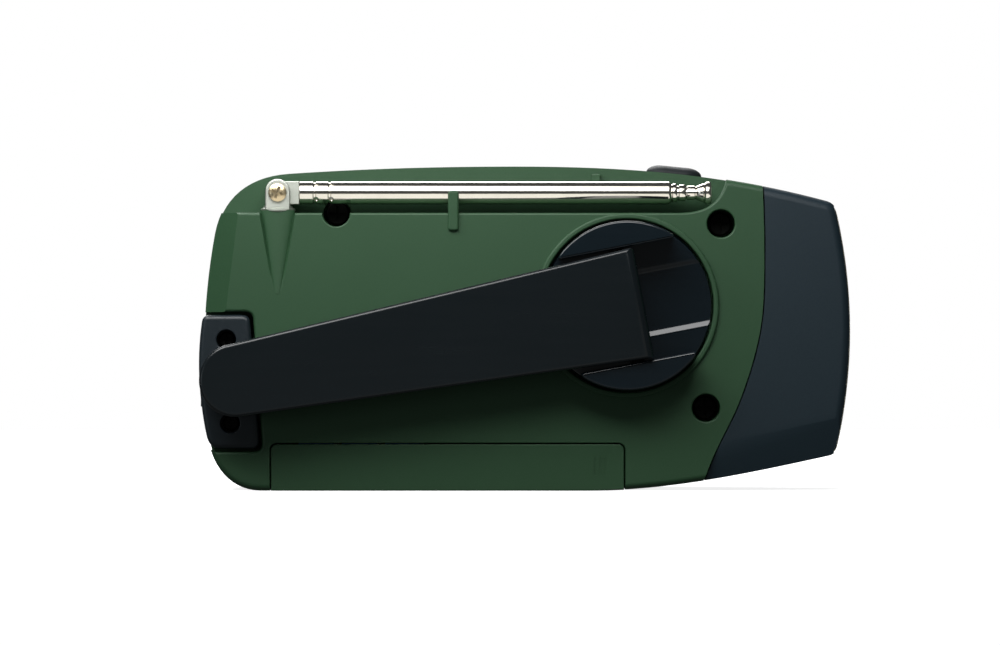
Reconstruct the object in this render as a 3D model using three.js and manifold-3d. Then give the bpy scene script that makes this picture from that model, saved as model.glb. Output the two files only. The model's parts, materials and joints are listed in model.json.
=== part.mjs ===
// Hand-crank emergency radio: millimetres, +Z up, front face towards -Y, crank on the +Y side.
import * as THREE from 'three';
import { mergeVertices } from 'three/addons/utils/BufferGeometryUtils.js';
import Module from 'manifold-3d';

const wasm = await Module();
wasm.setup();

// Housing
const frontFace = -18;
const backFace = 17;
const wall = 2;
const parting = 1;
const gap = 0.3;
const seam = gap / 2;
const edgeRound = 2.4;
const topZ = 74;
const farX = 90;

// Crank: the arm leans down by armTilt as it lies folded against the back
const crankX = -22.6;
const crankZ = 41.8;
const armTilt = THREE.MathUtils.degToRad(10.8);
const rotorR = 19.07;
const lipInnerR = 19.66;
const lipOuterR = 20.86;
const lipTop = 17.8;
const cupFloor = 12.5;
const rotorBase = 12.9;
const rotorShelf = 16.8;
const troughFloor = 16.2;
const landR = 19;
const landInner = 12.95;
const landTop = 26.2;
const pinY = 23.15;
const pinR = 1.5;
const armLow = 18.3;
const armHigh = 28;
const armEndU = 89.3;
const armEndR = 8.2;
const armRootU = -3.7;
const armRootHalf = 12.55;
const knobHingeU = 91.5;
const knobY = 22.3;

// Gear train behind the crank: crank gear -> idler pinion and wheel -> generator pinion
const gearModule = 0.8;
const crankTeeth = 42;
const pinionTeeth = 12;
const wheelTeeth = 36;
const generatorTeeth = 10;
const crankGearY = [4.8, 8];
const wheelY = [1.5, 4];
const idlerX = crankX + (gearModule * (crankTeeth + pinionTeeth)) / 2;
const generatorX = idlerX + (gearModule * (wheelTeeth + generatorTeeth)) / 2;

// Antenna
const antennaX = 56.25;
const antennaY = 13;
const antennaZ = 67.35;
const shelfZ = 62.75;
const shelfFloor = 8;

// Strap block, battery door and fasteners
const blockLow = 9.5;
const blockHigh = 39.7;
const blockFloor = 10;
const blockTop = 17.6;
const doorX = [-22, 57.7];
const doorTop = 10.5;
const doorFront = -12;
const boxTop = 14.5;
const housingScrews = [[-43.9, 60.3, 9], [-40.5, 18.7, 9], [43, 62.8, 5.6]];
const blockScrews = [[67.8, 34.1], [66.9, 15.3]];

// Front controls
const speakerAt = [37, 38];
const tuningAt = [-31, 30];
const volumeAt = [-5, 27];
const bandAt = [-5, 42];
const chargeAt = [13, 58];
const dialX = [-39.5, 8];
const dialZ = [50, 64];
const ledHeights = [25, 36.5, 48];

const finishes = {
  green_plastic: { color: 0x3a5540, roughness: 0.6 },
  cap_plastic: { color: 0x232d34, roughness: 0.45 },
  gloss_black: { color: 0x12181b, roughness: 0.25 },
  block_plastic: { color: 0x1e262c, roughness: 0.5 },
  clear_plastic: { color: 0xf2efe2, roughness: 0.08, transparent: true, opacity: 0.4 },
  reflector_chrome: { color: 0xd8dadb, roughness: 0.08, metalness: 1 },
  led_resin: { color: 0xf4f2df, roughness: 0.15 },
  board_laminate: { color: 0x1f6b46, roughness: 0.5 },
  solar_silicon: { color: 0x15203a, roughness: 0.2 },
  grille_plastic: { color: 0x22292c, roughness: 0.5 },
  speaker_steel: { color: 0x8d9093, roughness: 0.35, metalness: 1 },
  cone_paper: { color: 0x1b1b1a, roughness: 0.9 },
  dial_card: { color: 0xdfe2d2, roughness: 0.7 },
  pointer_red: { color: 0xb3231d, roughness: 0.4 },
  cell_sleeve: { color: 0x2f6fa8, roughness: 0.35 },
  connector_nylon: { color: 0xe9e6dc, roughness: 0.5 },
  screw_steel: { color: 0x9a9a93, roughness: 0.3, metalness: 1 },
  nickel: { color: 0xc9c4b8, roughness: 0.18, metalness: 1 },
  gear_nylon: { color: 0xe8e4d6, roughness: 0.45 },
  bracket_steel: { color: 0xa7abad, roughness: 0.4, metalness: 1 },
  rotor_magnet: { color: 0x3c3d40, roughness: 0.4, metalness: 0.6 },
  switch_plastic: { color: 0x202224, roughness: 0.5 },
  ferrite: { color: 0x2b2a2a, roughness: 0.6 },
  coil_copper: { color: 0xb4693a, roughness: 0.3, metalness: 1 },
  button_rubber: { color: 0x2c3133, roughness: 0.8 },
  flap_rubber: { color: 0x24292a, roughness: 0.75 },
};

// ---- solids ----

function solid(geometry) {
  const bare = geometry.clone();
  bare.deleteAttribute('normal');
  bare.deleteAttribute('uv');
  const merged = mergeVertices(bare, 1e-4);
  return new wasm.Manifold(new wasm.Mesh({
    numProp: 3,
    vertProperties: new Float32Array(merged.attributes.position.array),
    triVerts: new Uint32Array(merged.index.array),
  }));
}

function geometryOf(body) {
  const mesh = body.getMesh();
  const geometry = new THREE.BufferGeometry();
  geometry.setAttribute('position', new THREE.BufferAttribute(new Float32Array(mesh.vertProperties), 3));
  geometry.setIndex(new THREE.BufferAttribute(new Uint32Array(mesh.triVerts), 1));
  geometry.computeVertexNormals();
  return geometry;
}

const join = (first, ...rest) => rest.reduce((sum, next) => sum.add(next), first);
const cut = (first, ...rest) => rest.reduce((left, next) => left.subtract(next), first);
const common = (first, second) => first.intersect(second);

// A prism of an outline drawn in X and Z, between two depths
function slab(points, low, high) {
  const geometry = new THREE.ExtrudeGeometry(new THREE.Shape(points), { depth: high - low, bevelEnabled: false });
  return solid(geometry.rotateX(Math.PI / 2).translate(0, high, 0));
}

// The same with both rims rounded
function softSlab(points, low, high, round, steps = 2) {
  const geometry = new THREE.ExtrudeGeometry(new THREE.Shape(points), {
    depth: high - low - 2 * round,
    bevelThickness: round,
    bevelSize: round,
    bevelOffset: -round,
    bevelSegments: steps,
  });
  return solid(geometry.rotateX(Math.PI / 2).translate(0, high - round, 0));
}

function box(x, y, z) {
  const geometry = new THREE.BoxGeometry(x[1] - x[0], y[1] - y[0], z[1] - z[0]);
  return solid(geometry.translate((x[0] + x[1]) / 2, (y[0] + y[1]) / 2, (z[0] + z[1]) / 2));
}

// Round bars along each axis
function drum(radius, low, high, x, z, sides = 32, lowRadius = radius) {
  const geometry = new THREE.CylinderGeometry(radius, lowRadius, high - low, sides);
  return solid(geometry.translate(x, (low + high) / 2, z));
}

function barX(radius, low, high, y, z, sides = 14, highRadius = radius) {
  const geometry = new THREE.CylinderGeometry(highRadius, radius, high - low, sides).rotateZ(-Math.PI / 2);
  return solid(geometry.translate((low + high) / 2, y, z));
}

function barZ(radius, low, high, x, y, sides = 14, highRadius = radius) {
  const geometry = new THREE.CylinderGeometry(highRadius, radius, high - low, sides).rotateX(Math.PI / 2);
  return solid(geometry.translate(x, y, (low + high) / 2));
}

// A rounded rectangle in X and Z
function panel(x, z, radius, corner = 3) {
  const points = [];
  const corners = [[x[1] - radius, z[1] - radius], [x[0] + radius, z[1] - radius],
    [x[0] + radius, z[0] + radius], [x[1] - radius, z[0] + radius]];
  corners.forEach(([cx, cz], quarter) => {
    for (let i = 0; i <= corner; i += 1) {
      const angle = (quarter + i / corner) * (Math.PI / 2);
      points.push(new THREE.Vector2(cx + radius * Math.cos(angle), cz + radius * Math.sin(angle)));
    }
  });
  return points;
}

// ---- outlines ----

// The housing seen from the front, moved inwards by inset
function outline(inset = 0) {
  const shape = new THREE.Shape();
  shape.moveTo(-14, 0);
  shape.lineTo(60, 0);
  shape.bezierCurveTo(66.5, 0, 71.6, 5, 72.3, 14);
  shape.bezierCurveTo(73.6, 30, 73.2, 44, 70.6, 58);
  shape.bezierCurveTo(69, 66.5, 63, 71.2, 54, 71.8);
  shape.bezierCurveTo(36, 73, 20, 73.45, 2, 73.45);
  shape.bezierCurveTo(-25, 73.45, -46, 71.4, -68, 65.45);
  shape.quadraticCurveTo(-70, 64.8, -70.5, 62.3);
  shape.quadraticCurveTo(-76.3, 36.5, -70.6, 10.4);
  shape.quadraticCurveTo(-70.2, 8.3, -68.5, 7.9);
  shape.bezierCurveTo(-50, 3.8, -32, 0, -14, 0);
  const points = shape.getPoints(5);
  points.pop();
  return points.map((here, i) => {
    const before = points[(i + points.length - 1) % points.length];
    const after = points[(i + 1) % points.length];
    const inEdge = here.clone().sub(before).normalize();
    const outEdge = after.clone().sub(here).normalize();
    const inwards = new THREE.Vector2(-inEdge.y - outEdge.y, inEdge.x + outEdge.x).normalize();
    const spread = inwards.dot(new THREE.Vector2(-inEdge.y, inEdge.x));
    return here.clone().addScaledVector(inwards, inset / spread);
  });
}

// Everything on the end cap's side of its curved seam
function capZone(shift) {
  const seamLine = new THREE.SplineCurve([[-53.2, 76], [-53.8, 54.4], [-53, 37], [-48.6, 21.2], [-42.5, 8.2],
    [-38.2, -3]].map(([x, z]) => new THREE.Vector2(x + shift, z)));
  const points = [...seamLine.getPoints(9), new THREE.Vector2(-farX, -3), new THREE.Vector2(-farX, 76)];
  return slab(points, frontFace - 2, backFace + 2);
}

// The antenna's shelf, grown by margin
function shelfZone(margin) {
  const shape = new THREE.Shape();
  shape.moveTo(farX, 80);
  shape.lineTo(-46 - margin, 80);
  shape.lineTo(-45.5 - margin, 71.5);
  shape.quadraticCurveTo(-44.2 - margin, shelfZ - margin, -34.7, shelfZ - margin);
  shape.lineTo(farX, shelfZ - margin);
  return slab(shape.getPoints(6), shelfFloor - margin, backFace + 3);
}

// The strap block's outline, grown by margin; its outer edge bulges past the housing
function blockOutline(margin) {
  const shape = new THREE.Shape();
  shape.moveTo(60.4 - margin, blockLow - margin);
  shape.lineTo(71.7 + margin, blockLow - margin);
  shape.quadraticCurveTo(75.6 + margin, 26, 73 + margin, blockHigh + margin);
  shape.lineTo(62.4 - margin, blockHigh + margin);
  return shape.getPoints(6);
}

// The crank arm lies along u, with v across it, both in the plane of the back
function armPoint(u, v) {
  return new THREE.Vector2(
    crankX + u * Math.cos(armTilt) + v * Math.sin(armTilt),
    crankZ - u * Math.sin(armTilt) + v * Math.cos(armTilt),
  );
}

function armOutline() {
  const points = [armPoint(armRootU, armRootHalf), armPoint(armRootU, -armRootHalf)];
  for (let i = 0; i <= 10; i += 1) {
    const angle = -Math.PI / 2 + (i * Math.PI) / 10;
    points.push(armPoint(armEndU + armEndR * Math.cos(angle), armEndR * Math.sin(angle)));
  }
  return points;
}

const armPanel = (u, v) => [[u[0], v[0]], [u[1], v[0]], [u[1], v[1]], [u[0], v[1]]].map(([p, q]) => armPoint(p, q));

// A round bar along u or across it
function armBar(radius, from, to, depth, sides = 14) {
  const start = armPoint(...from);
  const end = armPoint(...to);
  const along = new THREE.Vector3(end.x - start.x, 0, end.y - start.y);
  const geometry = new THREE.CylinderGeometry(radius, radius, along.length(), sides);
  geometry.applyQuaternion(new THREE.Quaternion().setFromUnitVectors(
    new THREE.Vector3(0, 1, 0), along.clone().normalize(),
  ));
  return solid(geometry.translate((start.x + end.x) / 2, depth, (start.y + end.y) / 2));
}

// A spur gear with short teeth and involute flanks, one tooth pointing along turn
function gearOutline(teeth, x, z, turn) {
  const pitchR = (gearModule * teeth) / 2;
  const baseR = pitchR * Math.cos(THREE.MathUtils.degToRad(20));
  const backlash = 0.13 / pitchR;
  const involute = (radius) => {
    const angle = Math.acos(Math.min(1, baseR / radius));
    return Math.tan(angle) - angle;
  };
  const halfAt = (radius) => Math.PI / (2 * teeth) - backlash + involute(pitchR) - involute(radius);
  const radii = [pitchR - 0.85 * gearModule, pitchR + 0.65 * gearModule];
  const points = [];
  for (let tooth = 0; tooth < teeth; tooth += 1) {
    const middle = turn + (tooth * 2 * Math.PI) / teeth;
    const flank = radii.map((radius) => [radius, halfAt(Math.max(radius, baseR))]);
    flank.forEach(([radius, half]) => points.push([radius, middle - half]));
    [...flank].reverse().forEach(([radius, half]) => points.push([radius, middle + half]));
  }
  return points.map(([radius, angle]) => new THREE.Vector2(x + radius * Math.cos(angle), z + radius * Math.sin(angle)));
}

// ---- assembly ----

const group = new THREE.Group();
group.name = 'emergency_radio';
const radio = new THREE.Group();
radio.name = 'radio';
radio.position.set(-0.293, -4, 0);
group.add(radio);

function piece(name, body, finish) {
  const mesh = new THREE.Mesh(geometryOf(body), new THREE.MeshStandardMaterial(finishes[finish]));
  mesh.name = name;
  mesh.material.name = finish;
  radio.add(mesh);
}

const housing = softSlab(outline(), frontFace, backFace, edgeRound);
const hollow = slab(outline(wall), frontFace + wall, backFace - wall);
const doorWay = join(
  box([doorX[0] - gap, doorX[1] + gap], [doorFront - gap, backFace + 1], [-1, wall + 0.4]),
  slab(panel([doorX[0] - gap, doorX[1] + gap], [-3, doorTop + gap], 1.6), backFace - wall - 0.4, backFace + 1),
);

function screwPost(x, z, seat) {
  return drum(4.9, parting, seat + wall, x, z, 20);
}

// Back half: crank cup, antenna shelf, strap block pocket and the screw wells
function backShell() {
  const room = cut(
    hollow,
    drum(lipOuterR + 0.8, cupFloor - wall, backFace, crankX, crankZ, 36),
    shelfZone(wall),
    slab(blockOutline(wall + gap), blockFloor - gap - wall, backFace),
    ...housingScrews.map(([x, z]) => screwPost(x, z, backFace)),
  );
  const half = common(housing, box([-farX, farX], [parting + seam, backFace + 1], [-1, topZ + 2]));
  const body = join(
    cut(half, room, shelfZone(0), drum(lipInnerR, cupFloor, backFace + 1, crankX, crankZ, 36)),
    cut(
      drum(lipOuterR, backFace - 1, lipTop, crankX, crankZ, 36),
      drum(lipInnerR, backFace - 2, backFace + 2, crankX, crankZ, 36),
    ),
    snapHook(),
    barZ(1, 46, shelfZ - 0.5, antennaX, 14.2, 12, 3.6),
    box([-16.8, -14.8], [shelfFloor - 0.5, 10], [69.8, 71.7]),
  );
  const wells = housingScrews.map(([x, z, seat]) => join(
    drum(3.15, seat, backFace + 1, x, z, 20),
    drum(1.75, 0, seat + 1, x, z, 10),
  ));
  const blockWells = blockScrews.map(([x, z]) => drum(1.35, 6, backFace, x, z, 12));
  return cut(
    body,
    capZone(seam),
    slab(blockOutline(gap), blockFloor - gap, backFace + 2),
    doorWay,
    drum(3.5, 8, backFace, crankX, crankZ, 24),
    barZ(1.75, 54, shelfZ + 1, antennaX, antennaY, 16),
    ...wells,
    ...blockWells,
  );
}

// A finger of the housing that reaches over the stowed antenna
function snapHook() {
  const reach = box([15.3, 17.75], [antennaY + 3.15, 17.8], [58.7, 67.8]);
  const foot = box([15.3, 17.75], [backFace - wall, 17.8], [58.7, shelfZ - 0.2]);
  return join(reach, foot);
}

// Front half: grille, dial, controls, solar pane, light button and ports
function frontShell() {
  const room = cut(hollow, ...housingScrews.map(([x, z]) => drum(3.4, frontFace, parting, x, z, 20)));
  const half = common(housing, box([-farX, farX], [frontFace - 1, parting - seam], [-1, topZ + 2]));
  return cut(
    half,
    room,
    capZone(seam),
    doorWay,
    drum(21, frontFace - 1, frontFace + wall + 1, ...speakerAt, 36),
    slab(panel([dialX[0] - gap, dialX[1] + gap], [dialZ[0] - gap, dialZ[1] + gap], 2.3), frontFace - 1, -15),
    drum(3.3, frontFace - 1, -15, ...tuningAt, 20),
    drum(3.3, frontFace - 1, -15, ...volumeAt, 20),
    drum(1.9, frontFace - 1, -15, ...chargeAt, 16),
    box([bandAt[0] - 6.4, bandAt[0] + 6.4], [frontFace - 1, -15], [bandAt[1] - 1.8, bandAt[1] + 1.8]),
    box([-20.3, 45.3], [-15.3, -2.7], [62, topZ + 2]),
    buttonBody(gap, 60),
    box([66, farX], [-15.3, -1.7], [17.7, 46.3]),
    ...housingScrews.map(([x, z]) => drum(1.6, -10, parting + 1, x, z, 12)),
  );
}

// The light button follows the slope of the top
function buttonBody(margin, bottom) {
  const half = 6.35 + margin;
  const across = 4 + margin;
  const shape = new THREE.Shape();
  shape.absarc(half - across, 0, across, -Math.PI / 2, Math.PI / 2);
  shape.absarc(across - half, 0, across, Math.PI / 2, (3 * Math.PI) / 2);
  const round = margin > 0 ? 0 : 1.3;
  const geometry = new THREE.ExtrudeGeometry(shape, {
    depth: 73.7 - bottom - 2 * round,
    bevelEnabled: round > 0,
    bevelThickness: round,
    bevelSize: round,
    bevelOffset: -round,
    bevelSegments: 2,
    curveSegments: 6,
  });
  geometry.translate(0, 0, bottom + round - 72);
  geometry.rotateY(THREE.MathUtils.degToRad(-5.6));
  return solid(geometry.translate(-34, -8, 72));
}

// End cap with the flashlight's window
function endCap() {
  const lensRoom = cut(
    slab(outline(-2), -14.3, 13.3),
    slab(outline(1.5), -15, 14),
    box([-66.5, farX], [-20, 20], [-5, 80]),
  );
  const trim = cut(
    slab(outline(-2), frontFace - 1, backFace + 1),
    slab(outline(0.55), frontFace - 2, backFace + 2),
    box([-69.5, farX], [-30, 30], [-5, 80]),
  );
  return cut(common(housing, capZone(-seam)), hollow, lensRoom, trim,
    box([-farX, -68], [-9.6, 9.6], [17.4, 55.6]));
}

function flashlight() {
  const lens = common(
    cut(slab(outline(0), -14, 13), slab(outline(1.2), -15, 14)),
    box([-farX, -66.8], [-20, 20], [-5, 80]),
  );
  piece('flashlight_lens', lens, 'clear_plastic');
  const cups = ledHeights.map((z) => join(
    barX(6.4, -71.5, -63, 0, z, 16, 2.9),
    barX(2.9, -64, -60, 0, z, 12),
  ));
  piece('flashlight_reflector', cut(box([-70.4, -61], [-9.2, 9.2], [17.8, 55.2]), ...cups), 'reflector_chrome');
  ledHeights.forEach((z, i) => {
    const dome = solid(new THREE.SphereGeometry(2.4, 12, 6).translate(-64.6, 0, z));
    piece(`led_${i + 1}`, join(barX(2.4, -64.6, -60.7, 0, z, 12), dome), 'led_resin');
  });
  piece('led_board', box([-60.4, -58.9], [-8, 8], [18, 55]), 'board_laminate');
}

// ---- front fittings ----

function solarPanel() {
  const band = (outer, inner, x, y) => common(
    cut(slab(outline(outer), -20, 0), slab(outline(inner), -21, 1)),
    box(x, y, [62, topZ + 2]),
  );
  piece('solar_window', band(0, 1.2, [-20, 45], [-15, -3]), 'clear_plastic');
  piece('solar_cell', band(1.5, 2.1, [-19.6, 44.6], [-14.6, -3.4]), 'solar_silicon');
}

function speakerSet() {
  const [x, z] = speakerAt;
  const slots = [];
  for (let row = -4; row <= 4; row += 1) {
    const reach = Math.sqrt(18.2 ** 2 - (row * 4.2) ** 2);
    slots.push(slab(panel([x - reach, x + reach], [z + row * 4.2 - 1, z + row * 4.2 + 1], 0.95, 2), -19, -15));
  }
  piece('speaker_grille', cut(drum(20.7, frontFace - 0.2, -16.4, x, z, 36), ...slots), 'grille_plastic');
  const basket = join(
    drum(20, -15.6, -13.6, x, z, 24),
    drum(9, -13.7, -6, x, z, 24, 19),
    drum(10.5, -6.2, -2, x, z, 24),
  );
  const funnel = drum(5, -17, -8, x, z, 24, 18.4);
  piece('speaker', cut(basket, funnel, drum(18.2, -17, -13.8, x, z, 24)), 'speaker_steel');
  const cone = cut(
    drum(4.6, -14.4, -8.6, x, z, 24, 14.5),
    drum(3.4, -15, -9.6, x, z, 24, 13.9),
  );
  piece('speaker_cone', cone, 'cone_paper');
}

function dial() {
  piece('dial_window', slab(panel(dialX, dialZ, 2), frontFace, -16.8), 'clear_plastic');
  piece('dial_scale', box([dialX[0] + 1, dialX[1] - 1], [-15.2, -14.4], [dialZ[0] - 1, dialZ[1] - 0.5]), 'dial_card');
  piece('dial_pointer', box([-16.6, -15.4], [-16.4, -15.6], [dialZ[0] + 0.5, dialZ[1] - 1]), 'pointer_red');
}

function turnKnob(name, [x, z], radius, ribs) {
  const grooves = [];
  for (let i = 0; i < ribs; i += 1) {
    const angle = (i * 2 * Math.PI) / ribs;
    const reach = radius + 0.25;
    grooves.push(drum(0.7, -21, -17, x + reach * Math.cos(angle), z + reach * Math.sin(angle), 6));
  }
  const cap = drum(radius, -20, -18.3, x, z, 32, radius - 0.6);
  const dimple = drum(1.6, -21, -19.5, x, z + radius * 0.62, 8);
  piece(name, cut(join(cap, drum(3, -18.5, -13.4, x, z, 20)), dimple, ...grooves), 'block_plastic');
}

function controls() {
  turnKnob('tuning_knob', tuningAt, 12.5, 12);
  turnKnob('volume_knob', volumeAt, 8, 9);
  const [x, z] = bandAt;
  const slider = join(
    box([x - 2.2, x + 2.2], [-19.2, -15.4], [z - 1.5, z + 1.5]),
    box([x - 2.6, x + 2.6], [-15.7, -14.2], [z - 2.4, z + 2.4]),
  );
  piece('band_slider', slider, 'block_plastic');
  piece('charge_led', drum(1.5, -17.9, -13, ...chargeAt, 16), 'pointer_red');
  piece('light_button', buttonBody(0, 68.6), 'button_rubber');
  piece('button_switch', box([-36.5, -30], [-10.8, -5.2], [64.4, 67.4]), 'switch_plastic');
}

function electronics() {
  piece('main_board', box([-36.6, 14], [-4.5, -3], [16, 61]), 'board_laminate');
  piece('tuning_capacitor', box([-36.4, -23], [-13, -4.9], [22, 38]), 'connector_nylon');
  piece('volume_pot', drum(7, -13, -4.9, ...volumeAt, 24), 'bracket_steel');
  piece('band_switch', box([-12.5, 2.5], [-13.8, -4.9], [38.5, 45.5]), 'bracket_steel');
  piece('ferrite_rod', barX(2.4, -34, 12, -10.4, 60.8, 16), 'ferrite');
  piece('ferrite_coil', cut(barX(3.3, -4, 9, -10.4, 60.8), barX(2.7, -5, 10, -10.4, 60.8)), 'coil_copper');
}

function ports() {
  const flap = common(
    cut(slab(outline(0.1), -15, -2), slab(outline(1.4), -16, -1)),
    box([66, farX], [-20, 0], [18, 46]),
  );
  piece('port_cover', flap, 'flap_rubber');
  piece('usb_socket', cut(box([62, 70.4], [-12.5, -4.5], [20, 25]), box([63.5, 72], [-11.9, -5.1], [21.1, 23.9])),
    'screw_steel');
  piece('dc_socket', cut(box([61, 70.4], [-12, -5], [28, 35]), barX(2.6, 62.5, 72, -8.5, 31.5)), 'switch_plastic');
  piece('phone_socket', cut(barX(3.4, 60, 70.4, -8.5, 40.5, 20), barX(1.8, 61.5, 72, -8.5, 40.5)), 'switch_plastic');
}

// ---- battery bay ----

function batteryBay() {
  const inside = [doorX[0] + 1.4, doorX[1] - 1.4];
  const tray = cut(
    box([doorX[0] + 0.2, doorX[1] - 0.2], [doorFront - 1.4, 14.2], [2.6, boxTop]),
    box(inside, [doorFront, 20], [0, boxTop - 1.2]),
    box([19.2, 30], [-8, 8], [boxTop - 2, boxTop + 1]),
  );
  piece('battery_box', tray, 'switch_plastic');
  const cells = [0, 1, 2].map((i) => drum(5, -11.2, 13, 28 + i * 9.8, 7.8, 16));
  piece('battery_pack', cut(join(...cells), box([0, 60], [-20, 20], [12.7, 20])), 'cell_sleeve');
  piece('battery_connector', box([20, 28], [-5, 5], [13.7, 15.4]), 'connector_nylon');
  const grips = [];
  for (let i = 0; i < 3; i += 1) {
    grips.push(slab(panel([-18.2 + i * 1.2, -17.6 + i * 1.2], [3.5, 7.5], 0.3, 1), backFace - 0.2, backFace + 1));
  }
  const back = slab(panel(doorX, [-4, doorTop], 1.4), backFace - wall + 0.2, backFace + 1);
  const bottom = box(doorX, [doorFront, backFace - 1], [-4, 1.7]);
  piece('battery_door', common(cut(join(back, bottom), ...grips), housing), 'green_plastic');
}

// ---- crank and its drive ----

function crank() {
  const inSlot = (half) => slab(armPanel([-40, 40], [-half, half]), rotorShelf - 0.01, landTop + 1);
  const lands = cut(softSlab(circle(landR, 32), rotorShelf - 2, landTop, 0.9, 2), inSlot(landInner));
  const trough = slab(armPanel([-40, 40], [-6.6, 6.6]), troughFloor, landTop + 1);
  const rotor = join(
    drum(rotorR, rotorBase, rotorShelf, crankX, crankZ, 36),
    lands,
    drum(3, 2.2, rotorBase + 1, crankX, crankZ, 6),
  );
  piece('crank_rotor', cut(rotor, trough, armBar(pinR + 0.1, [0, -16.9], [0, 16.9], pinY)), 'gloss_black');
  piece('arm_pin', armBar(pinR, [0, -16.6], [0, 16.6], pinY), 'screw_steel');
  crankArm();
  const teeth = slab(gearOutline(crankTeeth, crankX, crankZ, 0), ...crankGearY);
  piece('crank_gear', cut(teeth, drum(3.3, 0, 20, crankX, crankZ, 6)), 'gear_nylon');
}

function circle(radius, sides) {
  return Array.from({ length: sides }, (unused, i) => {
    const angle = (i * 2 * Math.PI) / sides;
    return new THREE.Vector2(crankX + radius * Math.cos(angle), crankZ + radius * Math.sin(angle));
  });
}

// The arm is cored out underneath; the knob folds into a nest at its free end
function crankArm() {
  const cores = [[9, 21], [23, 35], [37, 49]].map(([from, to]) => {
    const half = 10.6 - from * 0.055;
    const middle = half > 6.8 ? [[-half, -0.8], [0.8, half]] : [[-half, half]];
    return middle.map((v) => slab(armPanel([from, to], v), armLow - 1, armHigh - 2));
  }).flat();
  const nest = slab(armPanel([57, 94.5], [-4.3, 4.3]), armLow - 1, 26.4);
  const body = softSlab(armOutline(), armLow, armHigh, 2.2, 3);
  const holes = [
    armBar(pinR + 0.1, [0, -15], [0, 15], pinY),
    armBar(1.35, [knobHingeU, -5.9], [knobHingeU, 5.9], knobY, 12),
  ];
  piece('crank_arm', cut(body, nest, ...cores, ...holes), 'gloss_black');
  const stem = join(
    armBar(2.2, [knobHingeU, -3.9], [knobHingeU, 3.9], knobY),
    armBar(1.2, [knobHingeU, -5.6], [knobHingeU, 5.6], knobY, 12),
    armBar(1.5, [60.8, 0], [90.5, 0], knobY, 12),
    armBar(2.6, [60.7, 0], [61.9, 0], knobY, 12),
  );
  piece('knob_stem', stem, 'screw_steel');
  const grip = armBar(3.8, [62.4, 0], [86.9, 0], knobY, 20);
  piece('crank_knob', cut(grip, armBar(1.62, [60, 0], [90, 0], knobY, 12)), 'gloss_black');
}

function geartrain() {
  const halfTooth = (teeth) => Math.PI / teeth;
  const idler = join(
    slab(gearOutline(wheelTeeth, idlerX, crankZ, 0), ...wheelY),
    slab(gearOutline(pinionTeeth, idlerX, crankZ, halfTooth(pinionTeeth)), wheelY[1] - 0.2, crankGearY[1]),
  );
  piece('idler_gear', cut(idler, drum(1.6, 0, 20, idlerX, crankZ, 16)), 'gear_nylon');
  piece('idler_shaft', drum(1.5, 1, 9.4, idlerX, crankZ, 16), 'screw_steel');
  const plate = cut(
    box([-36, 31], [-0.8, 0.7], [24.4, 60]),
    drum(1.4, -2, 2, generatorX, crankZ, 12),
  );
  piece('gearbox_plate', plate, 'bracket_steel');
  const can = cut(
    drum(11, 5, 14.5, generatorX, crankZ, 24),
    drum(9, 6.2, 13.2, generatorX, crankZ, 20),
    drum(1.7, 4, 8, generatorX, crankZ, 12),
    box([generatorX + 2, generatorX + 12], [8.5, 11.5], [crankZ - 2, crankZ + 2]),
  );
  piece('generator_case', can, 'bracket_steel');
  const rotor = join(
    slab(gearOutline(generatorTeeth, generatorX, crankZ, halfTooth(generatorTeeth)), ...wheelY),
    drum(1.4, 1.2, 7, generatorX, crankZ, 16),
    drum(8.4, 6.8, 12.6, generatorX, crankZ, 18),
  );
  piece('generator_rotor', rotor, 'rotor_magnet');
}

// ---- fasteners, strap block and antenna ----

// A cross-slotted screw along Y, its head up towards the back
function screw(x, z, seat, headR, shankR, length) {
  const head = drum(headR, seat, seat + 1.8, x, z, 14);
  const shank = drum(shankR, seat - length, seat + 0.1, x, z, 8);
  const slot = headR * 0.68;
  const cross = join(
    box([x - slot, x + slot], [seat + 0.9, seat + 3], [z - 0.32, z + 0.32]),
    box([x - 0.32, x + 0.32], [seat + 0.9, seat + 3], [z - slot, z + slot]),
  );
  return cut(join(head, shank), cross);
}

function fasteners() {
  housingScrews.forEach(([x, z, seat], i) => {
    piece(`housing_screw_${i + 1}`, screw(x, z, seat + gap, 2.7, 1.3, seat + 8), 'screw_steel');
  });
  blockScrews.forEach(([x, z], i) => {
    piece(`block_screw_${i + 1}`, screw(x, z, 13.2, 1.85, 1, 6.2), 'screw_steel');
  });
}

function strapBlock() {
  const body = softSlab(blockOutline(0), blockFloor, blockTop, 0.9, 2);
  const wells = blockScrews.map(([x, z]) => join(
    drum(2.2, 12.9, blockTop + 1, x, z, 20),
    drum(1.3, blockFloor - 1, 14, x, z, 12),
  ));
  const slot = box([70.2, farX], [11.8, 15.8], [19.5, 30.5]);
  const bar = barZ(1.1, 19, 31, 72.6, 13.8, 12);
  return join(cut(body, slot, ...wells), bar);
}

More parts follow.
